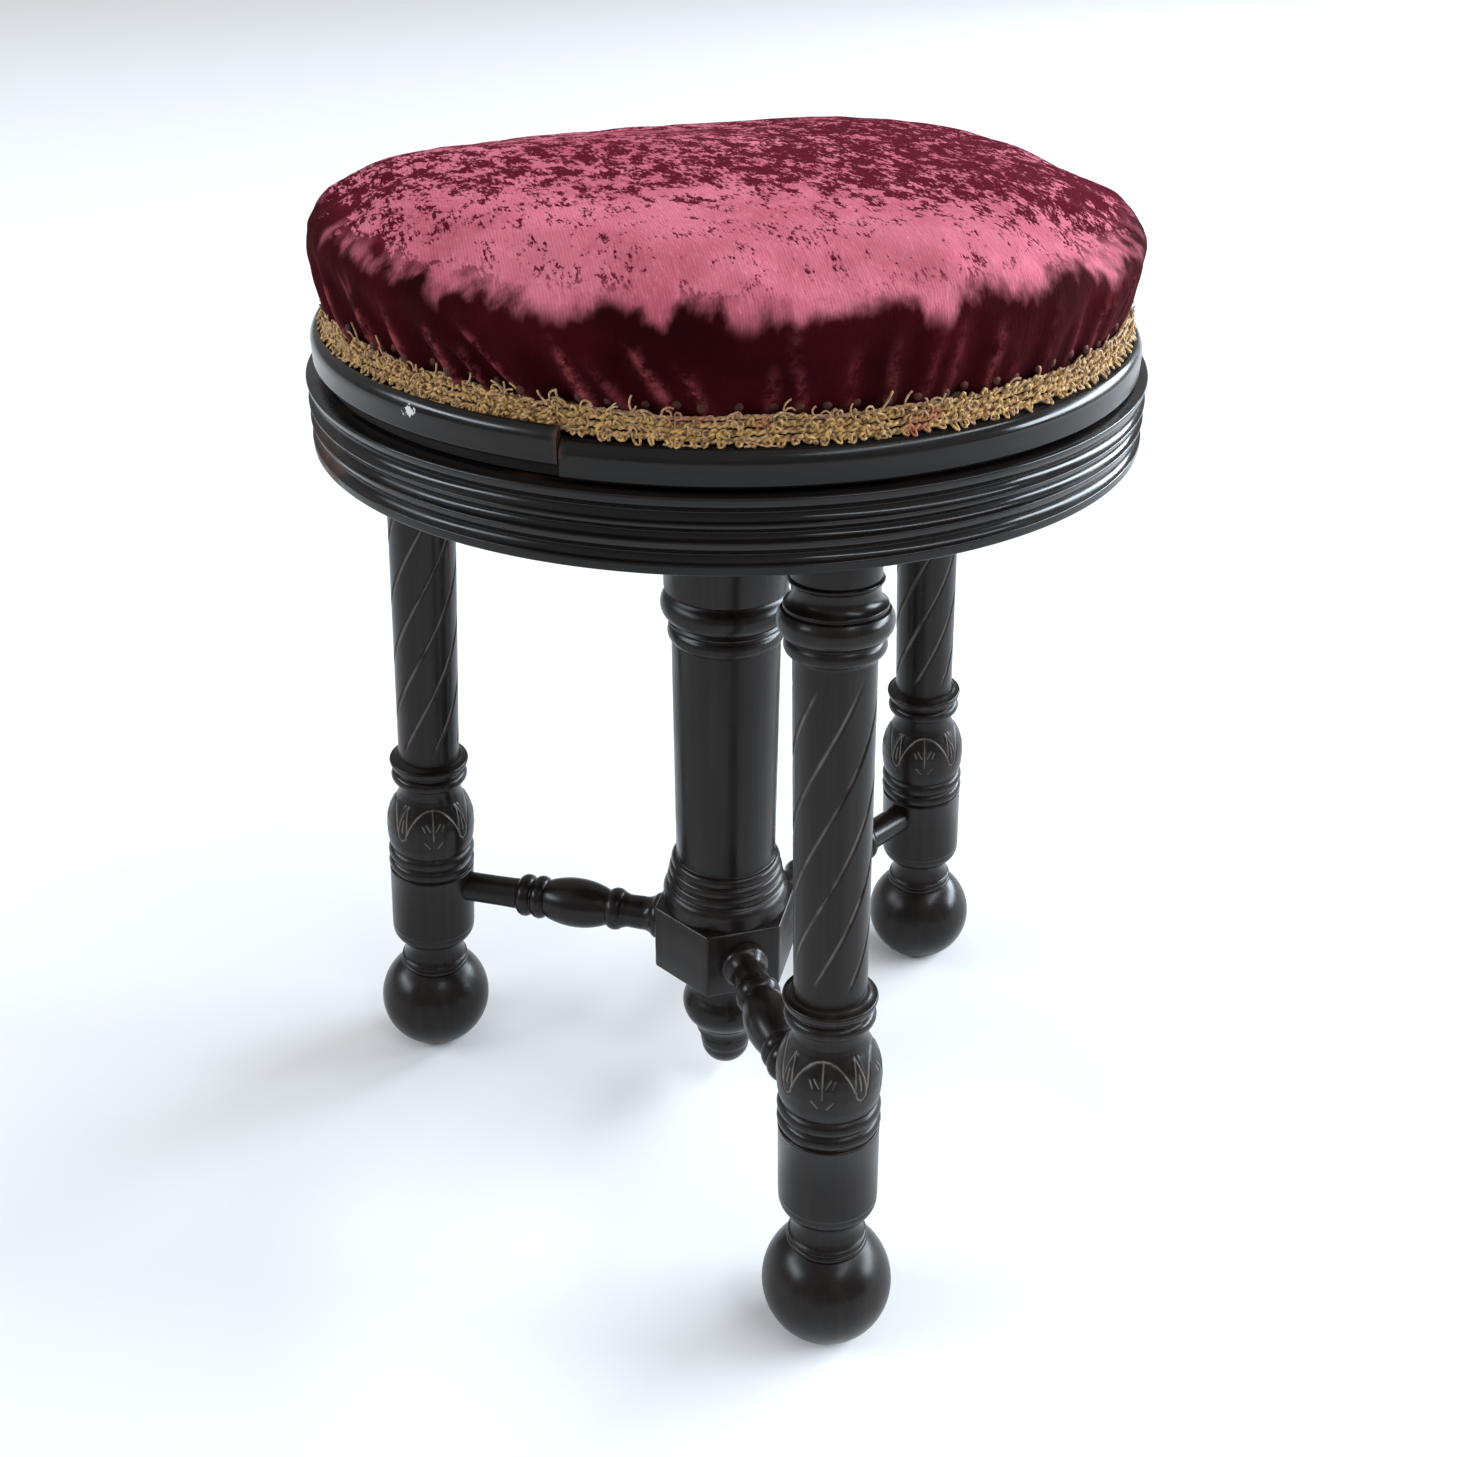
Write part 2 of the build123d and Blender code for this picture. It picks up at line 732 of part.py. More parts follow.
with BuildPart() as velvet_cover:
    with BuildSketch(Plane.XZ):
        with BuildLine():
            Polyline(
                (0, hem_bottom),
                (hem_radius, hem_bottom),
                (hem_radius, rebate_top),
                *chords((hem_radius, rebate_top), side_middle, (pad_bulge_radius, bulge), 2)[1:],
                *chords((pad_bulge_radius, bulge), roll_middle, roll_end, 3)[1:],
                *chords(roll_end, crown_middle, (0, crown), 3)[1:],
                close=True,
            )
        make_face()
    revolve(axis=Axis.Z)
    with BuildSketch(Plane.XZ):
        with BuildLine():
            Polyline(*pad_core(cover_thickness, hem_bottom), close=True)
        make_face()
    revolve(axis=Axis.Z, mode=Mode.SUBTRACT)
velvet_cover.part.label = "velvet_cover"
export_step(velvet_cover.part, "parts/velvet_cover.step")

# The gimp braid over the hem
gimp_bore = hem_radius + soft_clearance
gimp_radius = gimp_bore + gimp_thickness
gimp_edge = gimp_bore + gimp_thickness / 2

with BuildPart() as gimp_braid:
    with BuildSketch(Plane.XZ):
        with BuildLine():
            Polyline(
                (gimp_bore, ledge + face_clearance),
                (gimp_edge, ledge + face_clearance),
                (gimp_radius, ledge + 0.3 * gimp_height),
                (gimp_radius, ledge + 0.7 * gimp_height),
                (gimp_edge, ledge + gimp_height),
                (gimp_bore, ledge + gimp_height),
                close=True,
            )
        make_face()
    revolve(axis=Axis.Z)
gimp_braid.part.label = "gimp_braid"
export_step(gimp_braid.part, "parts/gimp_braid.step")
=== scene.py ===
# %% [markdown]
# # A round piano stool, dressed around its CAD frame
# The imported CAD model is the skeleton: every node has its true place and size, and the seat can
# already turn and rise. This lesson adds what CAD leaves out: turnings with soft curves and carving,
# black polish that is rubbed brown on its edges, crushed velvet and a frayed gold braid.
# Everything is in metres and in the CAD model's own frame, so nothing has to be fitted by eye.

# %% Load the frame
import math
import random

import bpy
import numpy as np
from mathutils import Matrix, Vector, noise


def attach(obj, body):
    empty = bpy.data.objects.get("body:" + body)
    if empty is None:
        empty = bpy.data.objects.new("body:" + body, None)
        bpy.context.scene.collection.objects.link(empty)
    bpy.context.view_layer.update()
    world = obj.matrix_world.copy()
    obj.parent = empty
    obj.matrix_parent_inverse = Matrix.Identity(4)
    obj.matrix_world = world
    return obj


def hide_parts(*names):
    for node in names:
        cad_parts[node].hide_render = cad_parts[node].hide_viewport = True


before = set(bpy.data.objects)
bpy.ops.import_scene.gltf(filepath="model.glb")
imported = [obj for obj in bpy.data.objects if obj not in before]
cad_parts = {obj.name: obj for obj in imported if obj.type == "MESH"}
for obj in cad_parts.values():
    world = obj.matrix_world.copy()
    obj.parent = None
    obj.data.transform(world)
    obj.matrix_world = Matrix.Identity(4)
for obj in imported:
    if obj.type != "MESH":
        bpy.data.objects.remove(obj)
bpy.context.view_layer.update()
MM = 0.001

# %% [markdown]
# The camera stands where the photographer stood: a little to the left of the front leg, above the
# seat, looking down at the column. The eye and the tilt come from fitting circles of the seat and
# of the feet in the picture, so they are written as plain numbers.

# %% Camera
EYE = (-0.1866, -0.6534, 0.6099)
LOOK_DOWN = 29.76
LOOK_SIDEWAYS = -15.94
ROLL = -0.17
bpy.ops.object.camera_add(
    location=EYE,
    rotation=[math.radians(turn) for turn in (90 - LOOK_DOWN, ROLL, LOOK_SIDEWAYS)],
)
camera = bpy.context.object
camera.data.sensor_width = 36.0
camera.data.lens = 39.80
camera.data.clip_start = 0.02
bpy.context.scene.camera = camera
print("camera at", EYE)

# %% [markdown]
# The studio is a wide pale floor, a sky that is brighter overhead than at the horizon, and three
# soft lamps. A black polished turning shows only what it mirrors: the lamps stand to the right, to the
# left and high in front like windows, and draw long lines on the rim, the beads and the ball feet.

# %% Floor, sky and lamps
scene = bpy.context.scene
scene.view_settings.view_transform = "Standard"
FLOOR_SIZE = 30.0
SKY_AT_HORIZON, SKY_OVERHEAD = 0.28, 0.66
LAMP_DISTANCE = 6.0
LAMP_TARGET = Vector((0, 0, 0.35))
bpy.ops.object.select_all(action="DESELECT")
bpy.ops.mesh.primitive_plane_add(size=FLOOR_SIZE)
floor = bpy.context.object
floor.name = "studio_floor"
paint = bpy.data.materials.new("floor_paint")
paint.use_nodes = True
floor_shader = paint.node_tree.nodes["Principled BSDF"]
floor_shader.inputs["Base Color"].default_value = (0.86, 0.86, 0.86, 1)
floor_shader.inputs["Roughness"].default_value = 0.9
floor.data.materials.append(paint)

sky = bpy.data.worlds.new("studio_sky")
sky.use_nodes = True
sky_nodes = sky.node_tree.nodes
direction = sky_nodes.new("ShaderNodeTexCoord")
split = sky_nodes.new("ShaderNodeSeparateXYZ")
fade = sky_nodes.new("ShaderNodeMapRange")
fade.inputs["To Min"].default_value = SKY_AT_HORIZON
fade.inputs["To Max"].default_value = SKY_OVERHEAD
sky.node_tree.links.new(direction.outputs["Generated"], split.inputs["Vector"])
sky.node_tree.links.new(split.outputs["Z"], fade.inputs["Value"])
sky.node_tree.links.new(fade.outputs["Result"], sky_nodes["Background"].inputs["Strength"])
sky_nodes["Background"].inputs["Color"].default_value = (0.98, 0.99, 1.0, 1)
scene.world = sky


def around(azimuth, radius, height):
    """A place at an azimuth, which counts from -Y towards +X, so far from the Z axis and so high."""
    turn = math.radians(azimuth)
    return Vector((radius * math.sin(turn), -radius * math.cos(turn), height))


def window(name, azimuth, elevation, width, height, power, colour):
    """A wide soft lamp that faces the seat, seen from the column towards an azimuth and elevation."""
    tilt = math.radians(elevation)
    place = around(azimuth, LAMP_DISTANCE * math.cos(tilt), LAMP_TARGET.z + LAMP_DISTANCE * math.sin(tilt))
    bpy.ops.object.light_add(type="AREA", location=place)
    lamp = bpy.context.object
    lamp.name = name
    lamp.rotation_euler = (LAMP_TARGET - place).to_track_quat("-Z", "Y").to_euler()
    lamp.data.shape = "RECTANGLE"
    lamp.data.size = width
    lamp.data.size_y = height
    lamp.data.energy = power
    lamp.data.color = colour


window("right_window", 92, 16, 6.0, 1.3, 700.0, (0.80, 0.90, 1.0))
window("left_window", -97, 26, 4.0, 0.8, 200.0, (0.84, 0.92, 1.0))
window("high_window", 48, 50, 6.0, 0.45, 150.0, (0.86, 0.93, 1.0))
print("floor and lamps are set")

# %% [markdown]
# Materials are node trees, and most of their nodes are the same few: a noise, a ramp between colours
# and a bump. These small helpers keep each finish readable. Two marks on the mesh steer the wear:
# "worn" is high on proud edges and "dust" is high in hollows, so polish rubs off and dirt gathers
# where they do on the real wood.

# %% Node helpers
class Finish:
    """A material with its nodes at hand."""

    def __init__(self, name):
        self.material = bpy.data.materials.new(name)
        self.material.use_nodes = True
        self.nodes = self.material.node_tree.nodes
        self.links = self.material.node_tree.links
        self.shader = self.nodes["Principled BSDF"]

    def feed(self, node, inputs):
        """Link inputs of a node to other sockets, or write plain values on them."""
        for key, source in inputs.items():
            if isinstance(source, bpy.types.NodeSocket):
                self.links.new(source, node.inputs[key])
            else:
                node.inputs[key].default_value = source

    def node(self, kind, inputs, **settings):
        """A new node with its properties set and its inputs fed."""
        made = self.nodes.new(kind)
        for key, value in settings.items():
            setattr(made, key, value)
        self.feed(made, inputs)
        return made

    def shade(self, inputs):
        """Feed inputs of the surface shader."""
        self.feed(self.shader, inputs)

    def place(self, scale=(1, 1, 1), turn=(0, 0, 0), attribute=None):
        """Coordinates on the piece: its own metres, or a vector that is stored on its mesh."""
        if attribute:
            source = self.node("ShaderNodeAttribute", {}, attribute_name=attribute).outputs["Vector"]
        else:
            source = self.node("ShaderNodeTexCoord", {}).outputs["Object"]
        made = self.node("ShaderNodeMapping", {"Vector": source, "Scale": scale, "Rotation": turn})
        return made.outputs["Vector"]

    def mark(self, name):
        """A number that is stored on the mesh."""
        return self.node("ShaderNodeAttribute", {}, attribute_name=name).outputs["Fac"]

    def noise(self, place, scale, detail=3.0, roughness=0.55):
        """Cloudy values from 0 to 1."""
        inputs = {"Vector": place, "Scale": scale, "Detail": detail, "Roughness": roughness}
        return self.node("ShaderNodeTexNoise", inputs).outputs["Fac"]

    def maths(self, operation, first, second):
        """One sum on two values."""
        return self.node("ShaderNodeMath", {0: first, 1: second}, operation=operation).outputs[0]

    def between(self, value, low, high, out_low=0.0, out_high=1.0):
        """A smooth step of a value from one number to another."""
        inputs = {"Value": value, "From Min": low, "From Max": high, "To Min": out_low, "To Max": out_high}
        return self.node("ShaderNodeMapRange", inputs, interpolation_type="SMOOTHSTEP").outputs["Result"]

    def blend(self, share, first, second):
        """A mix of two colours."""
        return self.node("ShaderNodeMix", {0: share, 6: first, 7: second}, data_type="RGBA").outputs[2]

    def bump(self, height, strength, distance):
        """Small relief from a height."""
        made = self.node("ShaderNodeBump", {"Height": height, "Strength": strength, "Distance": distance})
        self.shade({"Normal": made.outputs["Normal"]})


def colour(red, green, blue):
    """A screen colour, from 0 to 255, as the linear colour that shaders use."""
    linear = []
    for part in (red, green, blue):
        part /= 255
        linear.append(part / 12.92 if part <= 0.04045 else ((part + 0.055) / 1.055) ** 2.4)
    return (*linear, 1)


print("node helpers are ready")

# %% [markdown]
# Ebonised wood is pear or beech, stained black and polished. Its grain hardly shows, but the polish
# has a soft orange peel along it, hollows hold grey dust, and edges are rubbed back to brown. The
# grain runs along a vector that each turned piece stores, so it leans with a leg and bends with a rim.
# Rim and apron are polished brighter than the turnings, and the left rim has a pale, ragged chip.

# %% Ebonised wood and bare wood
RUBBED_BROWN = colour(84, 54, 36)
CHIP_PLACE = (-0.1434, -0.0950, 0.4246)
CHIP_SQUASH = 1.8
CHIP_RADIUS = 0.0085
BOARD_STAIN_RADIUS = 0.162
SOFT_EDGE = 0.0003


def wood(name, dark, light, worn, shine, grain=None, edges=True, stain_radius=None, chip=None):
    """A wood with streaks along its grain, worn edges and dusty hollows."""
    finish = Finish(name)
    fibre = finish.noise(finish.place((260, 260, 9), attribute=grain), 1.0, 5.0, 0.6)
    cloud = finish.noise(finish.place(), 26.0, 3.0)
    tone = finish.blend(finish.between(fibre, 0.35, 0.75), dark, light)
    rough = finish.between(cloud, 0.3, 0.7, shine, shine + 0.12)
    if edges:
        rub = finish.maths("MULTIPLY", finish.mark("worn"), finish.between(cloud, 0.38, 0.72))
        tone = finish.blend(finish.between(rub, 0.25, 1.0, 0, 0.6), tone, worn)
        rough = finish.maths("ADD", rough, finish.maths("MULTIPLY", rub, 0.3))
        film = finish.noise(finish.place(), 70.0, 4.0)
        grey = finish.maths("MULTIPLY", finish.mark("dust"), finish.between(film, 0.25, 0.6, 0.35, 1.0))
        tone = finish.blend(finish.between(grey, 0.1, 0.9, 0, 0.75), tone, colour(132, 126, 118))
        rough = finish.maths("ADD", rough, finish.maths("MULTIPLY", grey, 0.3))
    if stain_radius:
        reach = finish.node("ShaderNodeVectorMath", {0: finish.place((1, 1, 0))}, operation="LENGTH")
        stained = finish.between(reach.outputs["Value"], stain_radius - 2 * SOFT_EDGE, stain_radius)
        tone = finish.blend(stained, tone, colour(24, 19, 17))
    if chip:
        ends = {0: finish.place((1, 1, CHIP_SQUASH)), 1: (chip[0], chip[1], CHIP_SQUASH * chip[2])}
        gap = finish.node("ShaderNodeVectorMath", ends, operation="DISTANCE")
        ragged = finish.noise(finish.place(), 420.0, 3.0, 0.6)
        near = finish.maths("ADD", gap.outputs["Value"], finish.maths("MULTIPLY", ragged, 0.012))
        edge = finish.between(near, CHIP_RADIUS - SOFT_EDGE, CHIP_RADIUS + SOFT_EDGE)
        tone = finish.blend(edge, colour(206, 202, 194), tone)
    finish.shade({"Base Color": tone, "Roughness": rough, "Specular IOR Level": 0.25})
    finish.bump(fibre, 0.12, 0.0004)
    return finish.material


POLISH = (colour(13, 11, 10), colour(27, 23, 21), RUBBED_BROWN, 0.13, "grain")
ebonised = wood("ebonised_wood", colour(15, 10, 8), colour(30, 23, 19), RUBBED_BROWN, 0.24, "grain")
polished = wood("polished_ebonised_wood", *POLISH)
chipped = wood("chipped_ebonised_wood", *POLISH, chip=CHIP_PLACE)
ebonised_board = wood("ebonised_board", colour(18, 15, 14), colour(34, 28, 25), RUBBED_BROWN, 0.4,
                      edges=False)
bare_wood = wood("bare_wood", colour(74, 50, 34), colour(112, 82, 58), colour(140, 105, 75), 0.6,
                 edges=False, stain_radius=BOARD_STAIN_RADIUS)
print("wood finishes:", ebonised.name, ebonised_board.name, bare_wood.name)

# %% [markdown]
# Iron, steel and leather are hidden until the seat is wound up. They still get a finish of their
# own: oiled dark iron with a cloudy sheen, brighter steel for the screws, and tan leather.

# %% Iron, steel and leather
def metal(name, dark, light, roughness):
    """A cloudy metal with fine scratches."""
    finish = Finish(name)
    cloud = finish.noise(finish.place(), 90.0, 5.0)
    scratch = finish.noise(finish.place((900, 900, 60)), 1.0, 2.0)
    rough = finish.between(cloud, 0.25, 0.75, roughness, roughness + 0.2)
    finish.shade({"Base Color": finish.blend(cloud, dark, light), "Roughness": rough, "Metallic": 1.0})
    finish.bump(scratch, 0.08, 0.0003)
    return finish.material


def leather(name):
    """A tan leather disc with pores and a darker, oily cast in places."""
    finish = Finish(name)
    stain = finish.noise(finish.place(), 60.0, 4.0)
    pores = finish.noise(finish.place(), 900.0, 2.0)
    tone = finish.blend(finish.between(stain, 0.3, 0.7), colour(70, 44, 26), colour(128, 86, 52))
    finish.shade({"Base Color": tone, "Roughness": 0.62})
    finish.bump(pores, 0.3, 0.0003)
    return finish.material


iron = metal("dark_iron", colour(52, 50, 50), colour(92, 88, 84), 0.38)
steel = metal("screw_steel", colour(120, 116, 110), colour(170, 166, 160), 0.3)
washer_leather = leather("washer_leather")
print("metal and leather:", iron.name, steel.name, washer_leather.name)

# %% [markdown]
# A turned piece is one outline spun round an axis, as on a lathe. The outline is a chain of edges:
# a single vertex is extruded from point to point, and a bead or a hollow is a short arc of points.
# In `outline`, a move has a radius and a height in millimetres, and a third number makes it an arc
# that bulges outwards by that much, or hollows in if it is negative.

# %% Outlines
def bow(start, end, rise, count):
    """Points along an arc that stands off its chord by a rise, without the first one."""
    chord = math.dist(start, end)
    along = ((end[0] - start[0]) / chord, (end[1] - start[1]) / chord)
    half = 2 * math.atan(2 * rise / chord)
    radius = chord / (2 * math.sin(half))
    points = []
    for step in range(1, count + 1):
        turn = half * (2 * step / count - 1)
        run = chord / 2 + radius * math.sin(turn)
        out = radius * (math.cos(turn) - math.cos(half))
        points.append((
            start[0] + along[0] * run + along[1] * out,
            start[1] + along[1] * run - along[0] * out,
        ))
    return points


def outline(start, *moves, count=9):
    """The points of an outline from its first point, or from a list of points, and its moves."""
    points = list(start) if isinstance(start, list) else [start]
    for radius, height, *rise in moves:
        if rise:
            points += bow(points[-1], (radius, height), rise[0], count)
        else:
            points.append((radius, height))
    return points


def start_fresh():
    """Leave edit mode and deselect everything, so that an operator acts on the new piece alone."""
    if bpy.context.mode != "OBJECT":
        bpy.ops.object.mode_set(mode="OBJECT")
    bpy.ops.object.select_all(action="DESELECT")


def select_only(piece):
    """Make a piece the one that operators act on."""
    start_fresh()
    piece.select_set(True)
    bpy.context.view_layer.objects.active = piece


def edit_all():
    """Go to edit mode with everything selected."""
    bpy.ops.object.mode_set(mode="EDIT")
    bpy.ops.mesh.select_all(action="SELECT")


def draw_chain(name, points):
    """A new piece in edit mode: one vertex, extruded along an outline in the XZ plane."""
    start_fresh()
    bpy.ops.mesh.primitive_circle_add(vertices=3, radius=MM)
    piece = bpy.context.object
    piece.name = piece.data.name = name
    edit_all()
    bpy.ops.mesh.merge(type="CENTER")
    bpy.ops.transform.translate(value=(points[0][0] * MM, 0, points[0][1] * MM))
    for before, after in zip(points, points[1:]):
        step = ((after[0] - before[0]) * MM, 0, (after[1] - before[1]) * MM)
        bpy.ops.mesh.extrude_region_move(TRANSFORM_OT_translate={"value": step})
    return piece


MERGE_DISTANCE = 0.00001


def close_mesh(piece, smooth_angle=32):
    """Merge doubles, turn faces outwards and smooth all but the sharp edges."""
    edit_all()
    bpy.ops.mesh.remove_doubles(threshold=MERGE_DISTANCE)
    bpy.ops.mesh.normals_make_consistent(inside=False)
    bpy.ops.object.mode_set(mode="OBJECT")
    bpy.ops.object.shade_smooth_by_angle(angle=math.radians(smooth_angle))
    return piece


def turned_piece(name, points, steps=96):
    """An outline spun all the way round the Z axis."""
    piece = draw_chain(name, points)
    edit_all()
    bpy.ops.mesh.spin(steps=steps, angle=2 * math.pi, center=(0, 0, 0), axis=(0, 0, 1))
    return close_mesh(piece)


print("a bead of 6 mm has", len(outline((20, 0), (20, 6, 1.5))), "points")

# %% [markdown]
# The finishes read marks from the mesh. A vertex that stands proud of its neighbours gets "worn",
# and one that lies below them gets "dust". Comparing each vertex with the mean of its neighbours is
# the same idea as a sculptor's cavity mask, and numpy does it for a whole mesh at once.

# %% Marks on a mesh
def points_of(piece):
    """The vertex places of a piece, one row each."""
    places = np.zeros(len(piece.data.vertices) * 3)
    piece.data.vertices.foreach_get("co", places)
    return places.reshape(-1, 3)


def move_points(piece, places):
    """Give a piece new vertex places."""
    piece.data.vertices.foreach_set("co", places.ravel())
    piece.data.update()


def polar(piece):
    """Each vertex as millimetres from the Z axis, radians round it and millimetres of height."""
    x, y, z = points_of(piece).T / MM
    return np.hypot(x, y), np.arctan2(y, x), z


def set_polar(piece, radius, turn, height):
    """Give a piece new vertex places from what polar returns."""
    places = np.column_stack((radius * np.cos(turn), radius * np.sin(turn), height))
    move_points(piece, places * MM)


def azimuths_of(places):
    """Degrees round the column from -Y towards +X for each place."""
    return np.degrees(np.arctan2(places[:, 0], -places[:, 1]))


def store(piece, name, kind, field, values):
    """Store a value for each vertex under a name."""
    if name not in piece.data.attributes:
        piece.data.attributes.new(name, kind, "POINT")
    values = np.ascontiguousarray(values, np.float32)
    piece.data.attributes[name].data.foreach_set(field, values.ravel())


def set_mark(piece, name, values):
    """Store a number for each vertex."""
    store(piece, name, "FLOAT", "value", values)


def mark_of(piece, name):
    """The numbers that are stored for the vertices."""
    values = np.zeros(len(piece.data.vertices), np.float32)
    piece.data.attributes[name].data.foreach_get("value", values)
    return values


def set_grain(piece, vectors):
    """Store for each vertex where it lies in the wood: two numbers across the grain, one along it."""
    store(piece, "grain", "FLOAT_VECTOR", "vector", vectors)


def smooth_step(values, low, high):
    """0 below low, 1 above high, with soft ends."""
    share = np.clip((values - low) / (high - low), 0, 1)
    return share * share * (3 - 2 * share)


def mark_edges(piece, reach=0.25):
    """Mark proud edges as worn and hollows as dusty, from each vertex and its neighbours."""
    places = points_of(piece)
    ends = np.zeros(len(piece.data.edges) * 2, int)
    piece.data.edges.foreach_get("vertices", ends)
    ends = ends.reshape(-1, 2)
    normals = np.zeros(len(places) * 3)
    piece.data.vertices.foreach_get("normal", normals)
    normals = normals.reshape(-1, 3)
    total = np.zeros_like(places)
    count = np.zeros(len(places))
    length = np.zeros(len(places))
    span = np.linalg.norm(places[ends[:, 0]] - places[ends[:, 1]], axis=1)
    for one, other in ((0, 1), (1, 0)):
        np.add.at(total, ends[:, one], places[ends[:, other]])
        np.add.at(count, ends[:, one], 1)
        np.add.at(length, ends[:, one], span)
    count = np.maximum(count, 1)
    sunk = ((total / count[:, None] - places) * normals).sum(1) / np.maximum(length / count, 1e-6)
    set_mark(piece, "worn", smooth_step(-sunk, 0.06, reach))
    set_mark(piece, "dust", 0.3 * smooth_step(sunk, 0.06, reach))


def coat(piece, material):
    """Give a piece one material."""
    piece.data.materials.clear()
    piece.data.materials.append(material)


def dress(piece, material, body, slot, *nodes):
    """Give a finished piece its material and body and hide the nodes it stands for; the slot is not used.
    """
    coat(piece, material)
    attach(piece, body)
    if nodes:
        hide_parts(*nodes)
    print(piece.name, "has", len(piece.data.polygons), "faces")


def ebonise(piece, node, reach=0.25):
    """Mark a plain piece of the base for wear and grain and dress it in black."""
    mark_edges(piece, reach)
    set_grain(piece, points_of(piece))
    dress(piece, ebonised, "base", "ebonised_wood", node)


print("marks and dressing are ready")

# %% [markdown]
# The legs are the richest turnings. From the floor they have a ball, a flared ankle, a plain block,
# two beads, a bulb that is carved with leaves, a double collar, a shaft with six spiral grooves and
# a moulded capital. The outline has many rows on the bulb and the shaft, because the carving is cut
# into the mesh itself and not only painted on.

# %% The leg's outline
SHAFT_START, SHAFT_END = 185.0, 335.0
BULB_START, BULB_END = 130.4, 164.0
LEG_COLUMNS = 300


def shaft_rows(count=52):
    """The leg's shaft, slightly thicker towards the top, in even steps."""
    return [(15.4 + 0.8 * row / count, SHAFT_START + (SHAFT_END - SHAFT_START) * row / count)
            for row in range(count + 1)]


def bulb_rows(count=72):
    """The carved bulb: full below, drawn in to a hollow neck above."""
    heights = (130.4, 132, 136, 143, 148.5, 153, 156, 158.5, 160.5, 162.5, 164.0)
    radii = (20.9, 21.6, 22.4, 22.8, 22.4, 21.2, 19.9, 18.6, 17.5, 16.4, 15.9)
    wanted = np.linspace(BULB_START, BULB_END, count + 1)
    curve = np.interp(wanted, heights, radii)
    curve[2:-2] = (curve[:-4] + curve[1:-3] + curve[2:-2] + curve[3:-1] + curve[4:]) / 5
    return list(zip(curve, wanted))


leg_outline = outline((0, -0.8), (13.0, -0.8))
leg_outline += bow(leg_outline[-1], (17.4, 49.4), 14.3, 30)
leg_outline = outline(
    leg_outline, (17.6, 50.0), (18.2, 52.2, 0.3), (17.3, 53.0, 0.1), (17.7, 54.6, 0.4), (17.0, 55.4, 0.1),
    (15.5, 66.0, -1.1), (16.0, 68.0, -0.2), (17.3, 68.7, 0.2), (21.9, 77.2, 1.6), (22.1, 78.6, 0.1),
    (22.1, 96.0), (22.1, 114.6), (21.4, 115.9, 0.4), (20.8, 116.4, -0.1), (20.9, 122.8, 1.7),
    (20.7, 123.3, -0.1), (20.9, 130.0, 1.7),
)
leg_outline = outline(
    leg_outline + bulb_rows(), (15.9, 168.6, -0.15), (16.7, 170.0, -0.2), (17.2, 176.6, 2.5),
    (17.0, 177.2, -0.1), (17.2, 178.2, -0.1), (19.7, 181.2, 0.8), (19.5, 183.2, 0.5), (16.6, 184.6, -0.2),
)
leg_outline = outline(
    leg_outline + shaft_rows(), (16.9, 336.8, -0.2), (18.4, 343.6, 1.9), (18.6, 344.2),
    (20.6, 355.0, 2.6), (19.4, 355.4), (19.7, 356.4, 0.2), (19.5, 357.4, 0.2), (17.4, 365.6, -1.7),
    (17.9, 366.2), (17.7, 367.4, 0.3), (17.1, 368.0), (17.1, 385.2), (0, 385.2),
)
print("leg outline:", len(leg_outline), "points, from", leg_outline[0], "to", leg_outline[-1])

# %% [markdown]
# The shaft's grooves climb to the right like a rope. If the grid of the mesh ran straight up, each
# groove would cut across its faces in steps. So the rows of the shaft are first turned a little
# more each, which makes the grid itself climb, and then a groove is just a few columns pushed in.
# The groove ends bluntly at its foot and runs out to a point at its head.

# %% Spiral grooves
GROOVES = 6
GROOVE_LEAD = 195.0
GROOVE_SLANT = math.atan(2 * math.pi * 16.3 / GROOVE_LEAD)
GROOVE_DEPTH = 0.9
GROOVE_HALF_WIDTH = 1.15
GROOVE_FOOT, GROOVE_HEAD = 195.0, 332.0
GROOVE_PHASE = math.radians(22)


def cut_spiral_grooves(leg):
    """Twist the shaft's rows and press the grooves in. Returns how deep each vertex went."""
    radius, turn, height = polar(leg)
    climb = 2 * math.pi * (np.clip(height, SHAFT_START, SHAFT_END) - SHAFT_START) / GROOVE_LEAD
    share = 2 * math.pi / GROOVES
    offset = (turn + share / 2) % share - share / 2
    across = np.abs(offset) * radius * math.cos(GROOVE_SLANT)
    ends = smooth_step(height, GROOVE_FOOT - 1.2, GROOVE_FOOT + 1.2)
    ends *= 1 - smooth_step(height, GROOVE_HEAD - 16, GROOVE_HEAD)
    depth = GROOVE_DEPTH * np.clip(1 - across / GROOVE_HALF_WIDTH, 0, 1) * ends
    set_polar(leg, radius - depth, turn + climb + GROOVE_PHASE, height)
    return depth


front_leg = turned_piece("front_leg_turning", leg_outline, LEG_COLUMNS)
groove_depth = cut_spiral_grooves(front_leg)
print("grooved vertices:", int((groove_depth > 0.1).sum()))

# %% [markdown]
# The bulb's carving is incised with a V-tool: four round-arched leaves with a mid-rib and a few
# short veins, and a slim dart between each pair. The pattern repeats every quarter turn and is the
# same on both sides of a leaf's rib, so one half leaf is drawn as short strokes in degrees and
# millimetres. Every vertex near a stroke is pressed in, and the ground above the leaves is lowered
# so that they stand out as real carving does.

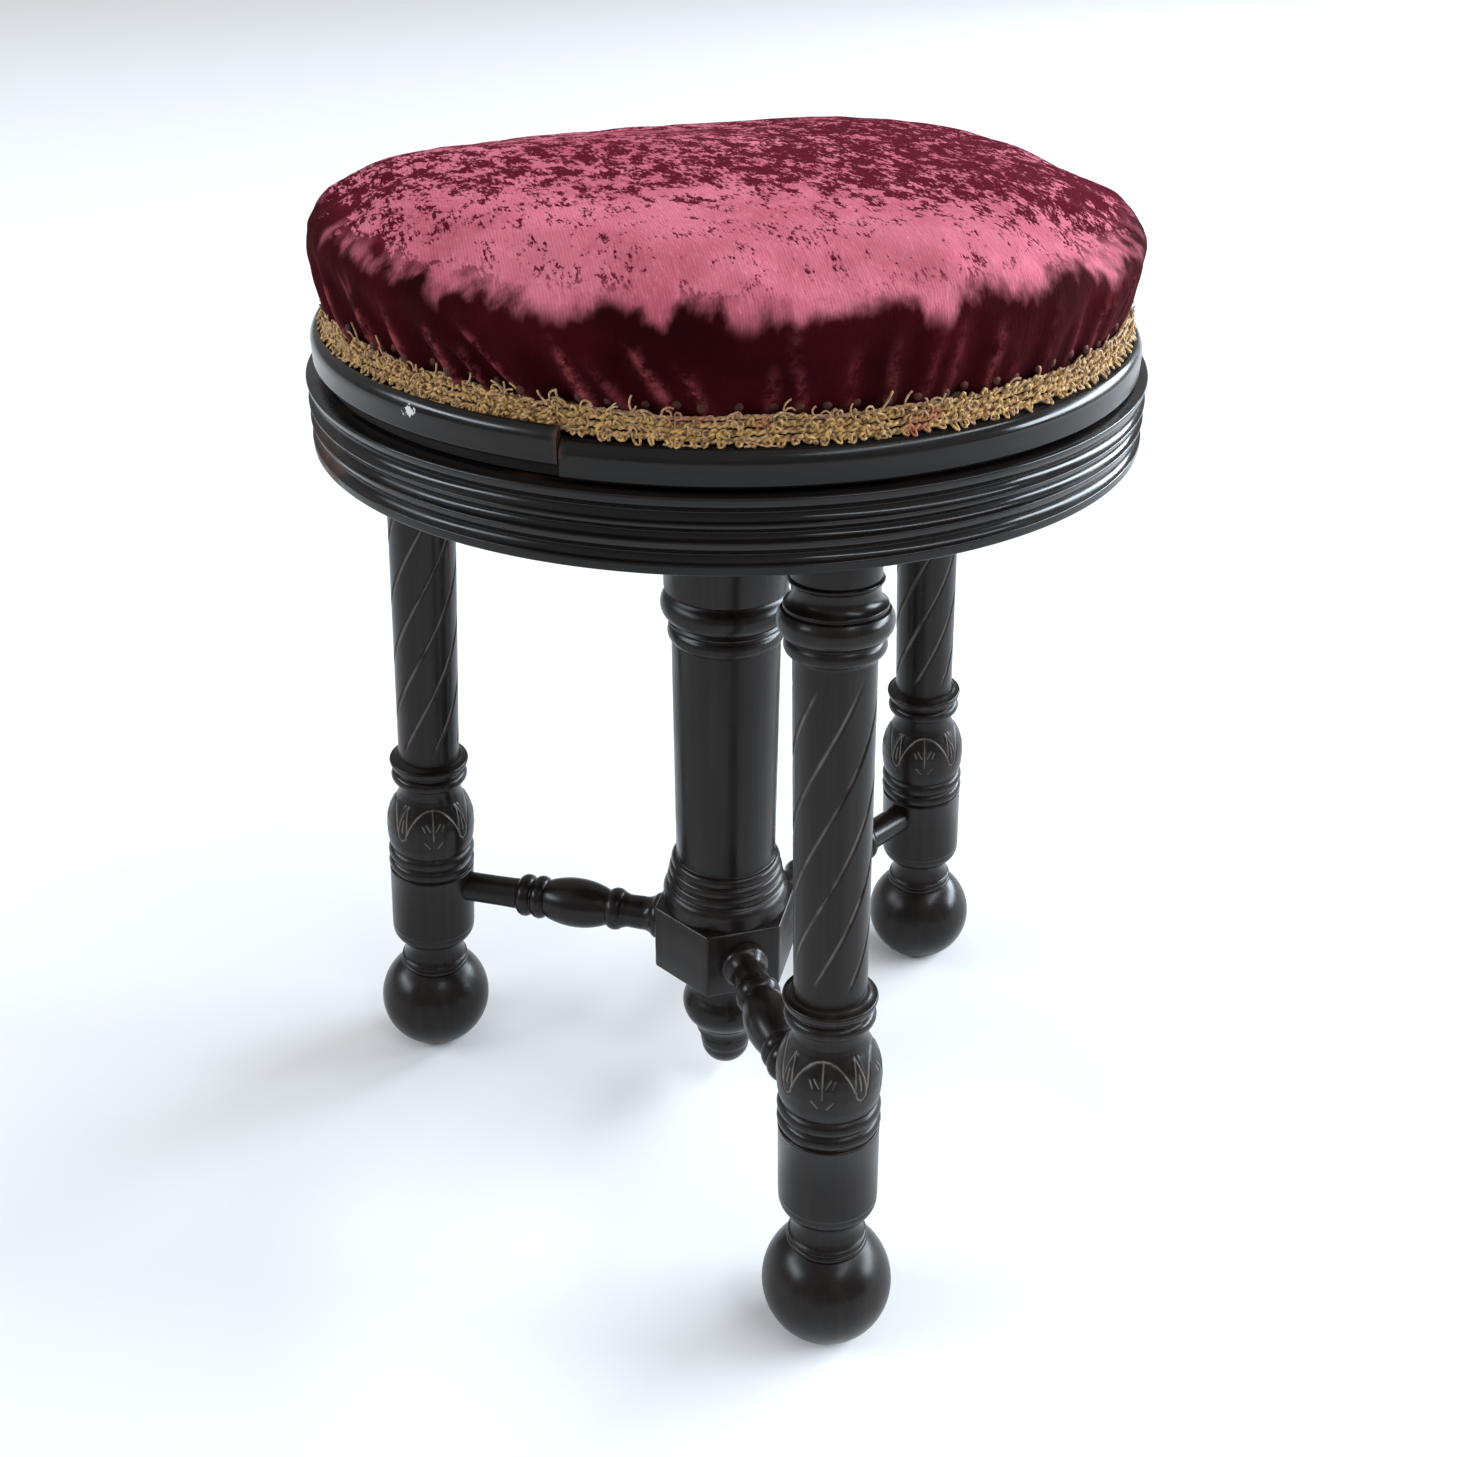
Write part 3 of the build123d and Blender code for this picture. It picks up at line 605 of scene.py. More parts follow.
# %% Carved leaves
LEAF_ARCH = ((0, 160.2), (10, 159.7), (18, 158.3), (25, 155.9), (30, 153.0), (34, 149.8), (37, 146.2))
LEAF_STROKES = (
    LEAF_ARCH,
    ((0, 160.0), (0, 144.0)),
    ((4, 149.5), (10, 153.2)),
    ((11.5, 149.4), (15, 152.4)),
    ((5, 139.6), (12, 143.0)),
    ((45, 160.4), (42.0, 157.0), (39.2, 152.0), (37.8, 147.0), (39.2, 143.2), (45, 141.2)),
    ((45, 153.4), (45, 146.4)),
)
STROKE_HALF_WIDTH = 0.62
STROKE_DEPTH = 0.55
GROUND_DEPTH = 0.4
BULB_RADIUS = 22.0


def distance_to_stroke(across, height, stroke):
    """How far each vertex is from a chain of short lines, in millimetres."""
    best = np.full(len(across), 99.0)
    for (turn_a, height_a), (turn_b, height_b) in zip(stroke, stroke[1:]):
        start = np.array((math.radians(turn_a) * BULB_RADIUS, height_a))
        run = np.array((math.radians(turn_b) * BULB_RADIUS, height_b)) - start
        share = ((across - start[0]) * run[0] + (height - start[1]) * run[1]) / (run @ run)
        share = np.clip(share, 0, 1)
        gap = np.hypot(across - start[0] - share * run[0], height - start[1] - share * run[1])
        best = np.minimum(best, gap)
    return best


def carve_leaves(leg):
    """Press the leaf pattern into the bulb. Returns how deep each vertex went."""
    radius, turn, height = polar(leg)
    turn = np.degrees(turn)
    fold = np.abs((turn + 45) % 90 - 45)
    on_bulb = (height > BULB_START) & (height < BULB_END)
    across = np.radians(fold) * BULB_RADIUS
    near = np.full(len(turn), 99.0)
    for stroke in LEAF_STROKES:
        near = np.minimum(near, distance_to_stroke(across, height, stroke))
    cut = STROKE_DEPTH * np.clip(1 - near / STROKE_HALF_WIDTH, 0, 1)
    arch_turns, arch_heights = zip(*LEAF_ARCH)
    above = smooth_step(height - np.interp(fold, arch_turns, arch_heights), 0.0, 0.9)
    dart = smooth_step(np.abs(fold - 45), 5.5, 8.0) + smooth_step(height, 159.0, 161.0)
    above *= np.clip(dart, 0, 1) * (1 - smooth_step(height, 160.0, 163.5))
    cut = np.where(on_bulb, cut, 0)
    radius = np.maximum(radius - cut - np.where(on_bulb, GROUND_DEPTH * above, 0), 0)
    set_polar(leg, radius, np.radians(turn), height)
    return cut


leaf_depth = carve_leaves(front_leg)
print("carved vertices:", int((leaf_depth > 0.1).sum()))

# %% [markdown]
# The finished leg is marked for wear, copied twice, and each copy is leaned in and turned to its
# corner. Each was glued in as it came, so its leaves face their own way. The place goes into the
# mesh, so the objects stay at the origin. A ball foot that leans would dip below the floor on one
# side: real ones are sanded flat there, and so are these.

# %% Place the three legs
LEG_AZIMUTHS = {"front": 0.0, "left": -120.0, "right": 120.0}
LEG_TURNS = {"front": -27.0, "left": 27.0, "right": 41.6}
FOOT_CIRCLE = 171.2 * MM
LEG_SPLAY = math.radians(3.88)


def frame_matrix(side, up, origin):
    """A placing matrix from where X and Z go and where the origin goes."""
    back = up.cross(side)
    return Matrix((
        (side.x, back.x, up.x, origin.x),
        (side.y, back.y, up.y, origin.y),
        (side.z, back.z, up.z, origin.z),
        (0, 0, 0, 1),
    ))


def copy_piece(piece, name):
    """A copy with a mesh of its own."""
    select_only(piece)
    bpy.ops.object.duplicate()
    twin = bpy.context.object
    twin.name = twin.data.name = name
    return twin


def three_copies(first, kind):
    """The front piece and a copy of it for each of the other corners."""
    pieces = {"front": first}
    for corner in ("left", "right"):
        pieces[corner] = copy_piece(first, f"{corner}_{kind}_turning")
    return pieces


def put_in_place(piece, matrix):
    """Move a piece and write its place into its mesh."""
    select_only(piece)
    piece.matrix_world = matrix
    bpy.ops.object.transform_apply(location=True, rotation=True, scale=True)


mark_edges(front_leg)
cut_share = np.clip(0.8 * groove_depth / GROOVE_DEPTH + leaf_depth / STROKE_DEPTH, 0, 1)
set_mark(front_leg, "dust", np.maximum(0.55 * mark_of(front_leg, "dust"), cut_share))
set_grain(front_leg, points_of(front_leg))
legs = three_copies(front_leg, "leg")
for corner, azimuth in LEG_AZIMUTHS.items():
    out = around(azimuth, 1, 0)
    up = Vector((0, 0, 1)) * math.cos(LEG_SPLAY) - out * math.sin(LEG_SPLAY)
    side = out * math.cos(LEG_SPLAY) + Vector((0, 0, 1)) * math.sin(LEG_SPLAY)
    turn = Matrix.Rotation(math.radians(LEG_TURNS[corner]), 4, "Z")
    put_in_place(legs[corner], frame_matrix(side, up, out * FOOT_CIRCLE) @ turn)
    places = points_of(legs[corner])
    places[:, 2] = np.maximum(places[:, 2], 0)
    move_points(legs[corner], places)
    dress(legs[corner], ebonised, "base", "ebonised_wood", f"{corner}_leg")

# %% [markdown]
# The stretchers are small vase turnings that lie level between the hub and the legs. They are spun
# upright like the legs, and the placing matrix lays them down: their Z axis becomes the direction
# outwards from the column.

# %% The three stretchers
STRETCHER_HEIGHT = 103.0 * MM
stretcher_outline = outline(
    (0, 31.5), (11.4, 31.5), (12.2, 34.2, 0.5), (11.6, 37.6, 0.3), (8.9, 45.0, -1.0), (8.7, 51.0),
    (9.4, 54.6, -0.25), (9.5, 55.4), (9.5, 63.6, 1.75), (9.5, 64.4), (9.9, 65.2), (10.2, 97.2, 3.1),
    (9.7, 98.0), (9.6, 105.4, 1.9), (9.5, 106.0), (8.9, 113.6, 2.1), (8.2, 114.4), (7.9, 130.0, -0.1),
    (8.1, 158.0, -0.1), (0, 158.0), count=14,
)
front_stretcher = turned_piece("front_stretcher_turning", stretcher_outline, 72)
mark_edges(front_stretcher)
set_grain(front_stretcher, points_of(front_stretcher))
stretchers = three_copies(front_stretcher, "stretcher")
for corner, azimuth in LEG_AZIMUTHS.items():
    lie = frame_matrix(Vector((0, 0, 1)), around(azimuth, 1, 0), Vector((0, 0, STRETCHER_HEIGHT)))
    put_in_place(stretchers[corner], lie)
    dress(stretchers[corner], ebonised, "base", "ebonised_wood", f"{corner}_stretcher")

# %% [markdown]
# The hub is a six-sided block. A cylinder with six sides is the start: every edge is rounded a
# little, as hand-sanded corners are, and the faces are then cut up finely enough to hold the marks.

# %% The hub
HUB_FLATS, HUB_BOTTOM, HUB_TOP = 66.0, 84.5, 122.0


def hexagon_block(name, flats, bottom, top, round_edge):
    """A six-sided block with a flat towards -Y and rounded edges."""
    start_fresh()
    bpy.ops.mesh.primitive_cylinder_add(
        vertices=6,
        radius=flats * MM / 2 / math.cos(math.radians(30)),
        depth=(top - bottom) * MM,
        location=(0, 0, (top + bottom) * MM / 2),
        rotation=(0, 0, math.radians(30)),
    )
    block = bpy.context.object
    block.name = block.data.name = name
    bpy.ops.object.transform_apply(location=True, rotation=True, scale=True)
    edit_all()
    bpy.ops.mesh.bevel(offset=round_edge * MM, segments=3, profile=0.5, affect="EDGES")
    edit_all()
    bpy.ops.mesh.quads_convert_to_tris()
    bpy.ops.mesh.subdivide(number_cuts=2)
    return close_mesh(block, 25)


hub = hexagon_block("hub_block", HUB_FLATS, HUB_BOTTOM, HUB_TOP, 1.3)
ebonise(hub, "stretcher_hub", 0.2)

# %% [markdown]
# The column and the drop finial are turned like the legs, but stay plain. The column's foot has a
# plinth and three reeds, and three beads grow out to the drum that carries the seat board.

# %% Column and finial
column_outline = outline(
    (0, 121.6), (31.4, 121.6), (32.0, 122.4, 0.2), (32.0, 127.6), (29.4, 133.2, 0.9), (28.9, 133.8),
    (28.2, 138.9, 1.35), (27.9, 139.2), (27.2, 144.3, 1.3), (26.9, 144.6), (25.9, 149.8, 1.3),
    (25.1, 151.0, -0.3), (25.9, 270.8), (25.7, 271.8), (26.2, 279.6, 1.8), (26.0, 280.2),
    (27.6, 282.0, 0.3), (26.8, 283.2), (27.8, 296.4, 3.6), (27.4, 297.4), (29.2, 299.2, 0.3),
    (29.4, 320.0), (29.4, 383.2), (0, 383.2), count=12,
)
column = turned_piece("column_turning", column_outline, 128)
ebonise(column, "centre_column")

finial_outline = outline(
    (0, 15.0), (12.8, 27.4, 4.0), (13.4, 31.0, 0.2), (12.8, 35.2, 0.3), (12.4, 36.0), (14.9, 36.6),
    (15.2, 37.6, 0.3), (18.6, 45.2, -0.9), (19.6, 46.2), (19.8, 63.4, 3.0), (19.2, 64.4),
    (18.8, 74.0, -0.5), (19.6, 83.0, -0.5), (19.6, 85.2), (0, 85.2), count=12,
)
finial = turned_piece("finial_turning", finial_outline, 96)
ebonise(finial, "drop_finial")

# %% [markdown]
# The apron is a hoop with three arrises and hollows between them. A hoop's outline is a closed
# chain: it ends on its own first point, and merging doubles joins the two. Grain runs round a hoop,
# so its grain vector is radius, height and the length along the circle. Knees and shoes have rubbed
# the apron brown on its left, below the top arris.

# %% The apron
def hoop_grain(piece):
    """Store radius, height and length along the circle."""
    radius, turn, height = polar(piece)
    set_grain(piece, np.column_stack((radius, height, turn * radius)) * MM)


apron_outline = outline(
    (166.1, 381.5), (175.3, 381.5), (176.0, 382.3, 0.2), (176.0, 384.7), (175.6, 385.3, 0.1),
    (172.9, 388.2, -0.5), (173.2, 389.0, -0.15), (175.8, 392.9, 0.5), (175.5, 393.7, 0.2),
    (172.9, 396.2, -0.45), (173.2, 397.0, -0.15), (175.8, 399.7, 0.4), (175.5, 400.5, 0.2),
    (172.9, 403.6, -0.5), (173.2, 404.4, -0.15), (175.9, 408.8, 0.5), (175.3, 409.8, 0.25),
    (166.1, 409.8), (166.1, 395.5), (166.1, 381.5), count=5,
)
apron = turned_piece("apron_hoop", apron_outline, 240)
mark_edges(apron)
apron_places = points_of(apron) / MM
knee_side = smooth_step(-np.abs(azimuths_of(apron_places) + 85), -50, -15)
knee_side *= smooth_step(-apron_places[:, 2], -407, -388)
set_mark(apron, "worn", np.clip(mark_of(apron, "worn") + knee_side, 0, 1))
hoop_grain(apron)
dress(apron, polished, "base", "ebonised_wood", "apron_ring")

# %% [markdown]
# The rim is sawn from three segments that butt together. One of them has come loose and stands a few
# millimetres high, so a strip of the board's stained edge shows below it. Each segment is a filled
# outline that is spun a third of the way round: spin keeps the first face and makes the last one,
# which close it. A positive angle spins clockwise as seen from above, so the angle here is negative.

# %% The three rim segments
RIM_SEGMENTS = {"front": (-35.3, 0.0), "back": (84.7, 0.0), "left": (204.7, 4.5)}
SEGMENT_ANGLE = 120.0
JOINT_GAP = 0.12
rim_outline = outline(
    (168.2, 411.8), (168.6, 411.4), (170.8, 411.4), (172.2, 413.2, 0.45), (172.2, 418.6),
    (169.4, 424.9, 1.0), (168.7, 425.0), (168.2, 424.5, 0.1), (168.2, 418.0), (168.2, 411.8), count=8,
)


def rim_segment(name, azimuth, lift):
    """One third of the rim, from an azimuth onwards."""
    piece = draw_chain(name, [(radius, height + lift) for radius, height in rim_outline])
    edit_all()
    bpy.ops.mesh.remove_doubles(threshold=MERGE_DISTANCE)
    bpy.ops.mesh.edge_face_add()
    bpy.ops.mesh.spin(
        steps=120,
        angle=-math.radians(SEGMENT_ANGLE - 2 * JOINT_GAP),
        center=(0, 0, 0),
        axis=(0, 0, 1),
    )
    close_mesh(piece, 40)
    put_in_place(piece, Matrix.Rotation(math.radians(azimuth - 90 + JOINT_GAP), 4, "Z"))
    return piece


for corner, (azimuth, lift) in RIM_SEGMENTS.items():
    segment = rim_segment(f"{corner}_rim_segment", azimuth, lift)
    mark_edges(segment, 0.3)
    hoop_grain(segment)
    dress(segment, chipped if corner == "left" else polished, "seat", "ebonised_wood", f"{corner}_rim")

# %% [markdown]
# The boards and the iron work keep their CAD shape and place: these nodes are not moved or remeshed,
# and each gets its finish here. A CAD node is never moved or remeshed, but its material may be
# changed, so each gets its finish here.

# %% Finishes for the CAD nodes
NODE_FINISHES = {
    "top_board": ebonised_board,
    "seat_board": bare_wood,
    "screw_nut": iron,
    "nut_screws": steel,
    "leather_washer": washer_leather,
    "seat_plate": iron,
    "seat_plate_screws": steel,
    "stop_collar": iron,
    "stop_pin": steel,
}
for node_name, material in NODE_FINISHES.items():
    coat(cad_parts[node_name], material)
print("finished CAD nodes:", ", ".join(NODE_FINISHES))

# %% [markdown]
# Crushed velvet has a pile that lies in all directions. Where it has been stroked flat it looks dusty
# pink and its twill shows through, and where it stands up it looks almost black. Part of this is painted
# light. The mesh carries a mark that says how flat the pile lies on the top and is set low all over the
# side, so the side is painted dark as shade and the top pink as sheen as well as stroked pile. The
# shader adds ragged noise to that mark and cuts it at a threshold, so the patches have torn edges
# instead of soft ones. Two more marks work on the side: "edge" lets the pink fade out over the shoulder
# instead of breaking off and gives the standing pile there a darker wine, which is painted shade, and the
# other draws pale painted highlights along the ridges between the creases.

# %% Velvet
TWILL_SCALE = 290.0


def crushed_velvet(name):
    """Velvet: dark standing pile, pink stroked pile, painted sheen on top, painted shade and ridge
    highlights on the side.
    """
    finish = Finish(name)
    turned = (0, 0, math.radians(16))
    torn = finish.noise(finish.place((1, 0.6, 1), turned), 115.0, 9.0, 0.76)
    tufts = finish.noise(finish.place((1, 0.3, 0.3), turned), 700.0, 3.0, 0.65)
    cloud = finish.noise(finish.place(), 18.0, 3.0)
    smudge = finish.noise(finish.place((1, 1, 0.5)), 55.0, 4.0, 0.6)
    brushed_and_sheen = finish.mark("brushed_and_sheen")
    flat = finish.maths("ADD", brushed_and_sheen, finish.between(torn, 0.4, 0.6))
    flat = finish.maths("ADD", flat, finish.between(tufts, 0.4, 0.6, 0, 0.6))
    lies_flat = finish.between(flat, 1.2, 1.44)
    fading = finish.maths("ADD", brushed_and_sheen, finish.between(smudge, 0.35, 0.65, -0.35, 0.35))
    fading = finish.between(fading, -0.2, 0.95)
    twill_place = finish.place((1, 1, 0), (0, 0, math.radians(4)))
    inputs = {"Vector": twill_place, "Scale": TWILL_SCALE, "Distortion": 0.2}
    twill = finish.node("ShaderNodeTexWave", inputs, wave_type="BANDS", bands_direction="X")
    weave = finish.maths("MULTIPLY", twill.outputs["Fac"], 0.22)
    # The standing pile's dark wine on the side is its own colour darkened with painted shade.
    standing = finish.blend(finish.between(cloud, 0.3, 0.7), colour(32, 4, 7), colour(56, 9, 14))
    # On the top the standing pile is painted a lighter wine than on the side: painted light on the top.
    standing = finish.blend(finish.mark("edge"), colour(84, 15, 30), standing)
    # Pale painted highlights along the crease ridges, broken up by the torn noise.
    ridge_highlight = finish.maths("MULTIPLY", finish.mark("ridge_highlight"), finish.between(torn, 0.42, 0.6))
    standing = finish.blend(finish.maths("MULTIPLY", ridge_highlight, 0.75), standing, colour(142, 66, 70))
    stroked = finish.blend(finish.between(cloud, 0.3, 0.7), colour(176, 84, 101), colour(210, 117, 134))
    stroked = finish.blend(weave, stroked, colour(128, 50, 66))
    stroked = finish.blend(finish.between(tufts, 0.5, 0.8, 0, 0.4), stroked, colour(222, 148, 158))
    cut = finish.blend(lies_flat, standing, stroked)
    faded = finish.blend(fading, standing, stroked)
    finish.shade({
        "Base Color": finish.blend(finish.mark("edge"), cut, faded),
        "Roughness": 0.85,
        "Specular IOR Level": 0.02,
        "Sheen Weight": 0.03,
        "Sheen Roughness": 0.35,
        "Sheen Tint": colour(200, 80, 105),
    })
    finish.bump(finish.maths("ADD", lies_flat, tufts), 0.4, 0.0012)
    return finish.material


velvet = crushed_velvet("crushed_velvet")
print("velvet:", velvet.name)

# %% [markdown]
# The pad is stuffed with horsehair and covered in one piece of velvet, drawn in at the hem. A cloth
# simulation gives it its tight, uneven swell: a slightly small dome is spun, remeshed into even faces,
# held at its hem and blown up from inside. How far a point may move is capped, so the pad keeps its
# size. The finished mesh is then subdivided once.

# %% Inflate the pad
HEM_RADIUS, HEM_BOTTOM, REBATE_TOP = 163.1, 425.3, 435.5
FOLD_RADIUS, FOLD_LAP = 161.9, 0.4
PAD_VOXEL = 0.0045
PAD_FRAMES = 20
PAD_CAP = 0.003
HELD_BELOW, FREE_ABOVE = 0.432, 0.446
pad_outline = outline(
    (0, 422.0), (158.0, 422.0), (162.6, 426.0, 0.8), (163.4, 436.0), (167.8, 450.0, 0.5),
    (171.0, 461.0, 0.5), (169.2, 470.0, 1.1), (161.0, 476.2, 1.0), (146.0, 479.8, 0.5),
    (120.0, 482.6, 0.4), (80.0, 485.4, 0.4), (40.0, 486.8, 0.2), (0, 487.2, 0.1),
)


def inflate(pad):
    """Blow the pad up with the Cloth modifier, hold its hem and cap its travel."""
    before = points_of(pad)
    held = pad.vertex_groups.new(name="held")
    for number, place in enumerate(before):
        weight = 1 - smooth_step(place[2], HELD_BELOW, FREE_ABOVE)
        held.add([number], float(weight), "REPLACE")
    cloth = pad.modifiers.new("inflate", "CLOTH")
    cloth.settings.quality = 5
    cloth.settings.mass = 0.3
    cloth.settings.tension_stiffness = 12
    cloth.settings.compression_stiffness = 12
    cloth.settings.bending_stiffness = 0.4
    cloth.settings.use_pressure = True
    cloth.settings.uniform_pressure_force = 3.0
    cloth.settings.vertex_group_mass = held.name
    cloth.settings.effector_weights.gravity = 0
    for number in range(1, PAD_FRAMES + 1):
        scene.frame_set(number)
    bpy.ops.object.modifier_apply(modifier=cloth.name)
    step = points_of(pad) - before
    travel = np.maximum(np.linalg.norm(step, axis=1), 1e-9)
    move_points(pad, before + step * np.minimum(1, PAD_CAP / travel)[:, None])
    scene.frame_set(1)
    print("pad travel: mean", round(travel.mean() / MM, 2), "mm, most", round(travel.max() / MM, 2), "mm")


pad = turned_piece("velvet_pad", pad_outline, 96)
pad.data.remesh_voxel_size = PAD_VOXEL
bpy.ops.object.voxel_remesh()
inflate(pad)
smooth = pad.modifiers.new("smooth", "SUBSURF")
smooth.levels = smooth.render_levels = 1
bpy.ops.object.modifier_apply(modifier=smooth.name)
print("pad:", len(pad.data.vertices), "vertices")

# %% [markdown]
# The velvet was pulled down by hand and nailed, so creases run up its side from the hem: close and
# upright on the right, long and slanting on the left. Each crease is a shallow valley with a height,
# a lean and a width of its own. The list is drawn from a seeded generator, so it is the same in every
# run. The same valleys also place painted highlights: pale lines are painted along the ridges between them.

# %% Creases, and the mark for stroked pile, painted sheen and painted shade
CREASE_COUNT = 72
SUNK_BACK, SUNK_RIGHT, SWELL = 0.006, 0.004, 0.0014
SIDE_TOP, TOP_START, TIDE = 455, 475, 4.4
CAMERA_RIGHT = (0.9615, -0.2746)
CAMERA_BACK = (0.2746, 0.9615)
draw = random.Random(11)


def crease_list():
    """Azimuth, depth, half-width, lean and reach of each crease, in degrees and millimetres."""
    creases = []
    for number in range(CREASE_COUNT):
        azimuth = 360 * (number + draw.uniform(-0.35, 0.35)) / CREASE_COUNT
        slanting = -100 < (azimuth + 180) % 360 - 180 < -15
        creases.append((
            azimuth,
            draw.uniform(0.8, 2.6) * (1.25 if slanting else 1.0),
            draw.uniform(1.2, 2.4),
            draw.uniform(-14, -6) if slanting else draw.uniform(-2, 3),
            draw.uniform(450, 474),
        ))
    return creases


def crease_field(azimuth, height, creases):
    """How deep the creases are at each vertex, how ridged it is beside them, and the painted highlights on
    the ridges.
    """
    depth = np.zeros(len(azimuth))
    ridge = np.zeros(len(azimuth))
    ridge_highlight = np.zeros(len(azimuth))
    for centre, deep, width, lean, reach in creases:
        rise = np.clip((height - 430) / 40, 0, 1)
        gap = (azimuth - centre - lean * rise + 180) % 360 - 180
        fade = (1 - smooth_step(height, reach - 14, reach)) * smooth_step(height, 424, 434)
        depth += deep * np.exp(-(gap / width) ** 2) * fade
        ridge += deep * np.exp(-((np.abs(gap) - 1.7 * width) / width) ** 2) * fade
        # The painted ridge highlights are stronger on the slanting creases.
        bright = 0.5 if lean < -5 else 0.25
        ridge_highlight += bright * deep * np.exp(-((gap - 1.5 * width) / 0.65) ** 2) * fade
    return depth, ridge, ridge_highlight


def crease_pad(pad):
    """Press the creases in, sink the pad where it is sat in and store the marks for pile, painted sheen,
    shade and highlights.
    """
    places = points_of(pad)
    azimuth = azimuths_of(places)
    height = places[:, 2] / MM
    depth, ridge, ridge_highlight = crease_field(azimuth, height, crease_list())
    radius = np.hypot(places[:, 0], places[:, 1])
    on_side = smooth_step(radius, 0.12, 0.155)
    push = (0.45 * ridge - depth) * MM * on_side
    places[:, 0] += push * np.sin(np.radians(azimuth))
    places[:, 1] -= push * np.cos(np.radians(azimuth))
    right = places[:, 0] * CAMERA_RIGHT[0] + places[:, 1] * CAMERA_RIGHT[1]
    back = places[:, 0] * CAMERA_BACK[0] + places[:, 1] * CAMERA_BACK[1]
    sunk = SUNK_BACK * smooth_step(back, 0.0, 0.12) * smooth_step(-right, -0.07, 0.03)
    sunk += SUNK_RIGHT * smooth_step(right, 0.09, 0.16)
    places[:, 2] -= sunk * smooth_step(height, 440, 478)
    swell = np.array([noise.noise(Vector(place) * 14) for place in places])
    places[:, 2] += SWELL * swell * smooth_step(height, 455, 480)
    move_points(pad, places)
    tide = np.array([noise.noise(Vector((x * 60, y * 60, 4.0))) for x, y, z in places])
    tide += np.array([noise.noise(Vector((x * 160, y * 160, 9.0))) for x, y, z in places])
    left_side = smooth_step(-right, 0.05, 0.16)
    top = smooth_step(height + TIDE * tide - 3 - 6 * left_side, SIDE_TOP, TOP_START)
    ruffled = smooth_step(back, -0.125, -0.035) * (0.69 + 0.29 * smooth_step(right, -0.06, 0.08))
    # The whole side gets a low mark, so it is painted dark as shade, and the top a high one, so it is
    # painted pink as sheen; the ruffled patches on the top are the pile's own.
    brushed_and_sheen = (1.12 - ruffled) * top - 0.6 * (1 - top)
    # The painted ridge highlights go on the side only.
    set_mark(pad, "ridge_highlight", np.clip(ridge_highlight, 0, 1) * (1 - top))
    set_mark(pad, "edge", 1 - smooth_step(height, 471, 478))
    set_mark(pad, "brushed_and_sheen", brushed_and_sheen)


crease_pad(pad)
print("creased pad, crown at", round(points_of(pad)[:, 2].max() / MM, 1), "mm")

# %% [markdown]
# Under the hem the pad is cut off level and folded in round the seat board's step, as the real cover
# is nailed there. Bisect leaves the cut's edges selected, so they can be extruded straight away:
# first inwards, then up to the step, where they are filled.

# %% Fold the hem in
def fold_hem(pad):
    """Cut the pad level at its hem and turn the edge in and up round the board's step."""
    select_only(pad)
    edit_all()
    bpy.ops.mesh.bisect(plane_co=(0, 0, HEM_BOTTOM * MM), plane_no=(0, 0, 1), clear_inner=True)
    shrink = FOLD_RADIUS / HEM_RADIUS
    bpy.ops.mesh.extrude_region_move()
    bpy.ops.transform.resize(value=(shrink, shrink, 1), center_override=(0, 0, HEM_BOTTOM * MM))
    rise = (0, 0, (REBATE_TOP + FOLD_LAP - HEM_BOTTOM) * MM)
    bpy.ops.mesh.extrude_region_move(TRANSFORM_OT_translate={"value": rise})
    bpy.ops.mesh.edge_face_add()
    close_mesh(pad, 60)


fold_hem(pad)
dress(pad, velvet, "seat", "velvet", "velvet_cover", "seat_stuffing")

# %% [markdown]
# The gimp is a narrow woven braid, glued and pinned over the velvet's raw edge. It has a few cords
# that run round, a loop for every stitch on both edges, and by now a fringe of frayed ends. All of it
# is thread, so it is drawn as curves with a round bevel and then made into meshes. The braid climbs
# with the loose rim segment on the left, so its height is a function of the azimuth.

# %% Gold thread
def thread(name, dark, light, faded, stain):
    """Thread that is faded in places and stained in a few."""
    finish = Finish(name)
    patch = finish.noise(finish.place(), 120.0, 3.0)
    strand = finish.noise(finish.place(), 620.0, 3.0)
    spot = finish.noise(finish.place(), 34.0, 2.0)
    tone = finish.blend(finish.between(strand, 0.32, 0.66), dark, light)
    tone = finish.blend(finish.between(patch, 0.55, 0.75, 0, 0.55), tone, faded)
    tone = finish.blend(finish.between(spot, 0.62, 0.7, 0, 0.75), tone, stain)
    finish.shade({"Base Color": tone, "Roughness": 0.6, "Sheen Weight": 0.15})
    finish.bump(strand, 0.4, 0.0004)
    return finish.material


gold = thread(
    "gold_thread", colour(92, 60, 26), colour(206, 162, 94), colour(212, 172, 124), colour(146, 62, 38),
)
straw = thread(
    "straw_thread", colour(132, 96, 56), colour(190, 150, 104), colour(204, 166, 132), colour(146, 82, 60),
)

GIMP_AZIMUTHS = (-180, -150, -106, -70, -52, -38, -26, 0, 30, 74, 110, 180)
GIMP_BOTTOMS = (428.5, 430.0, 430.8, 430.2, 429.4, 427.4, 426.0, 425.8, 426.4, 428.2, 428.6, 428.5)
GIMP_HEIGHT = 9.0
draw = random.Random(23)
vary = draw.uniform


def gimp_bottom(azimuth):
    """The height of the braid's lower edge, in millimetres."""
    return float(np.interp((azimuth + 180) % 360 - 180, GIMP_AZIMUTHS, GIMP_BOTTOMS))


def on_braid(azimuth, out, rise):
    """A place on the braid, so far out from the velvet and so far above its lower edge."""
    radius = HEM_RADIUS + 0.8 + out + max(0, 1.5 - 0.25 * rise)
    return around(azimuth, radius * MM, (gimp_bottom(azimuth) + rise) * MM)


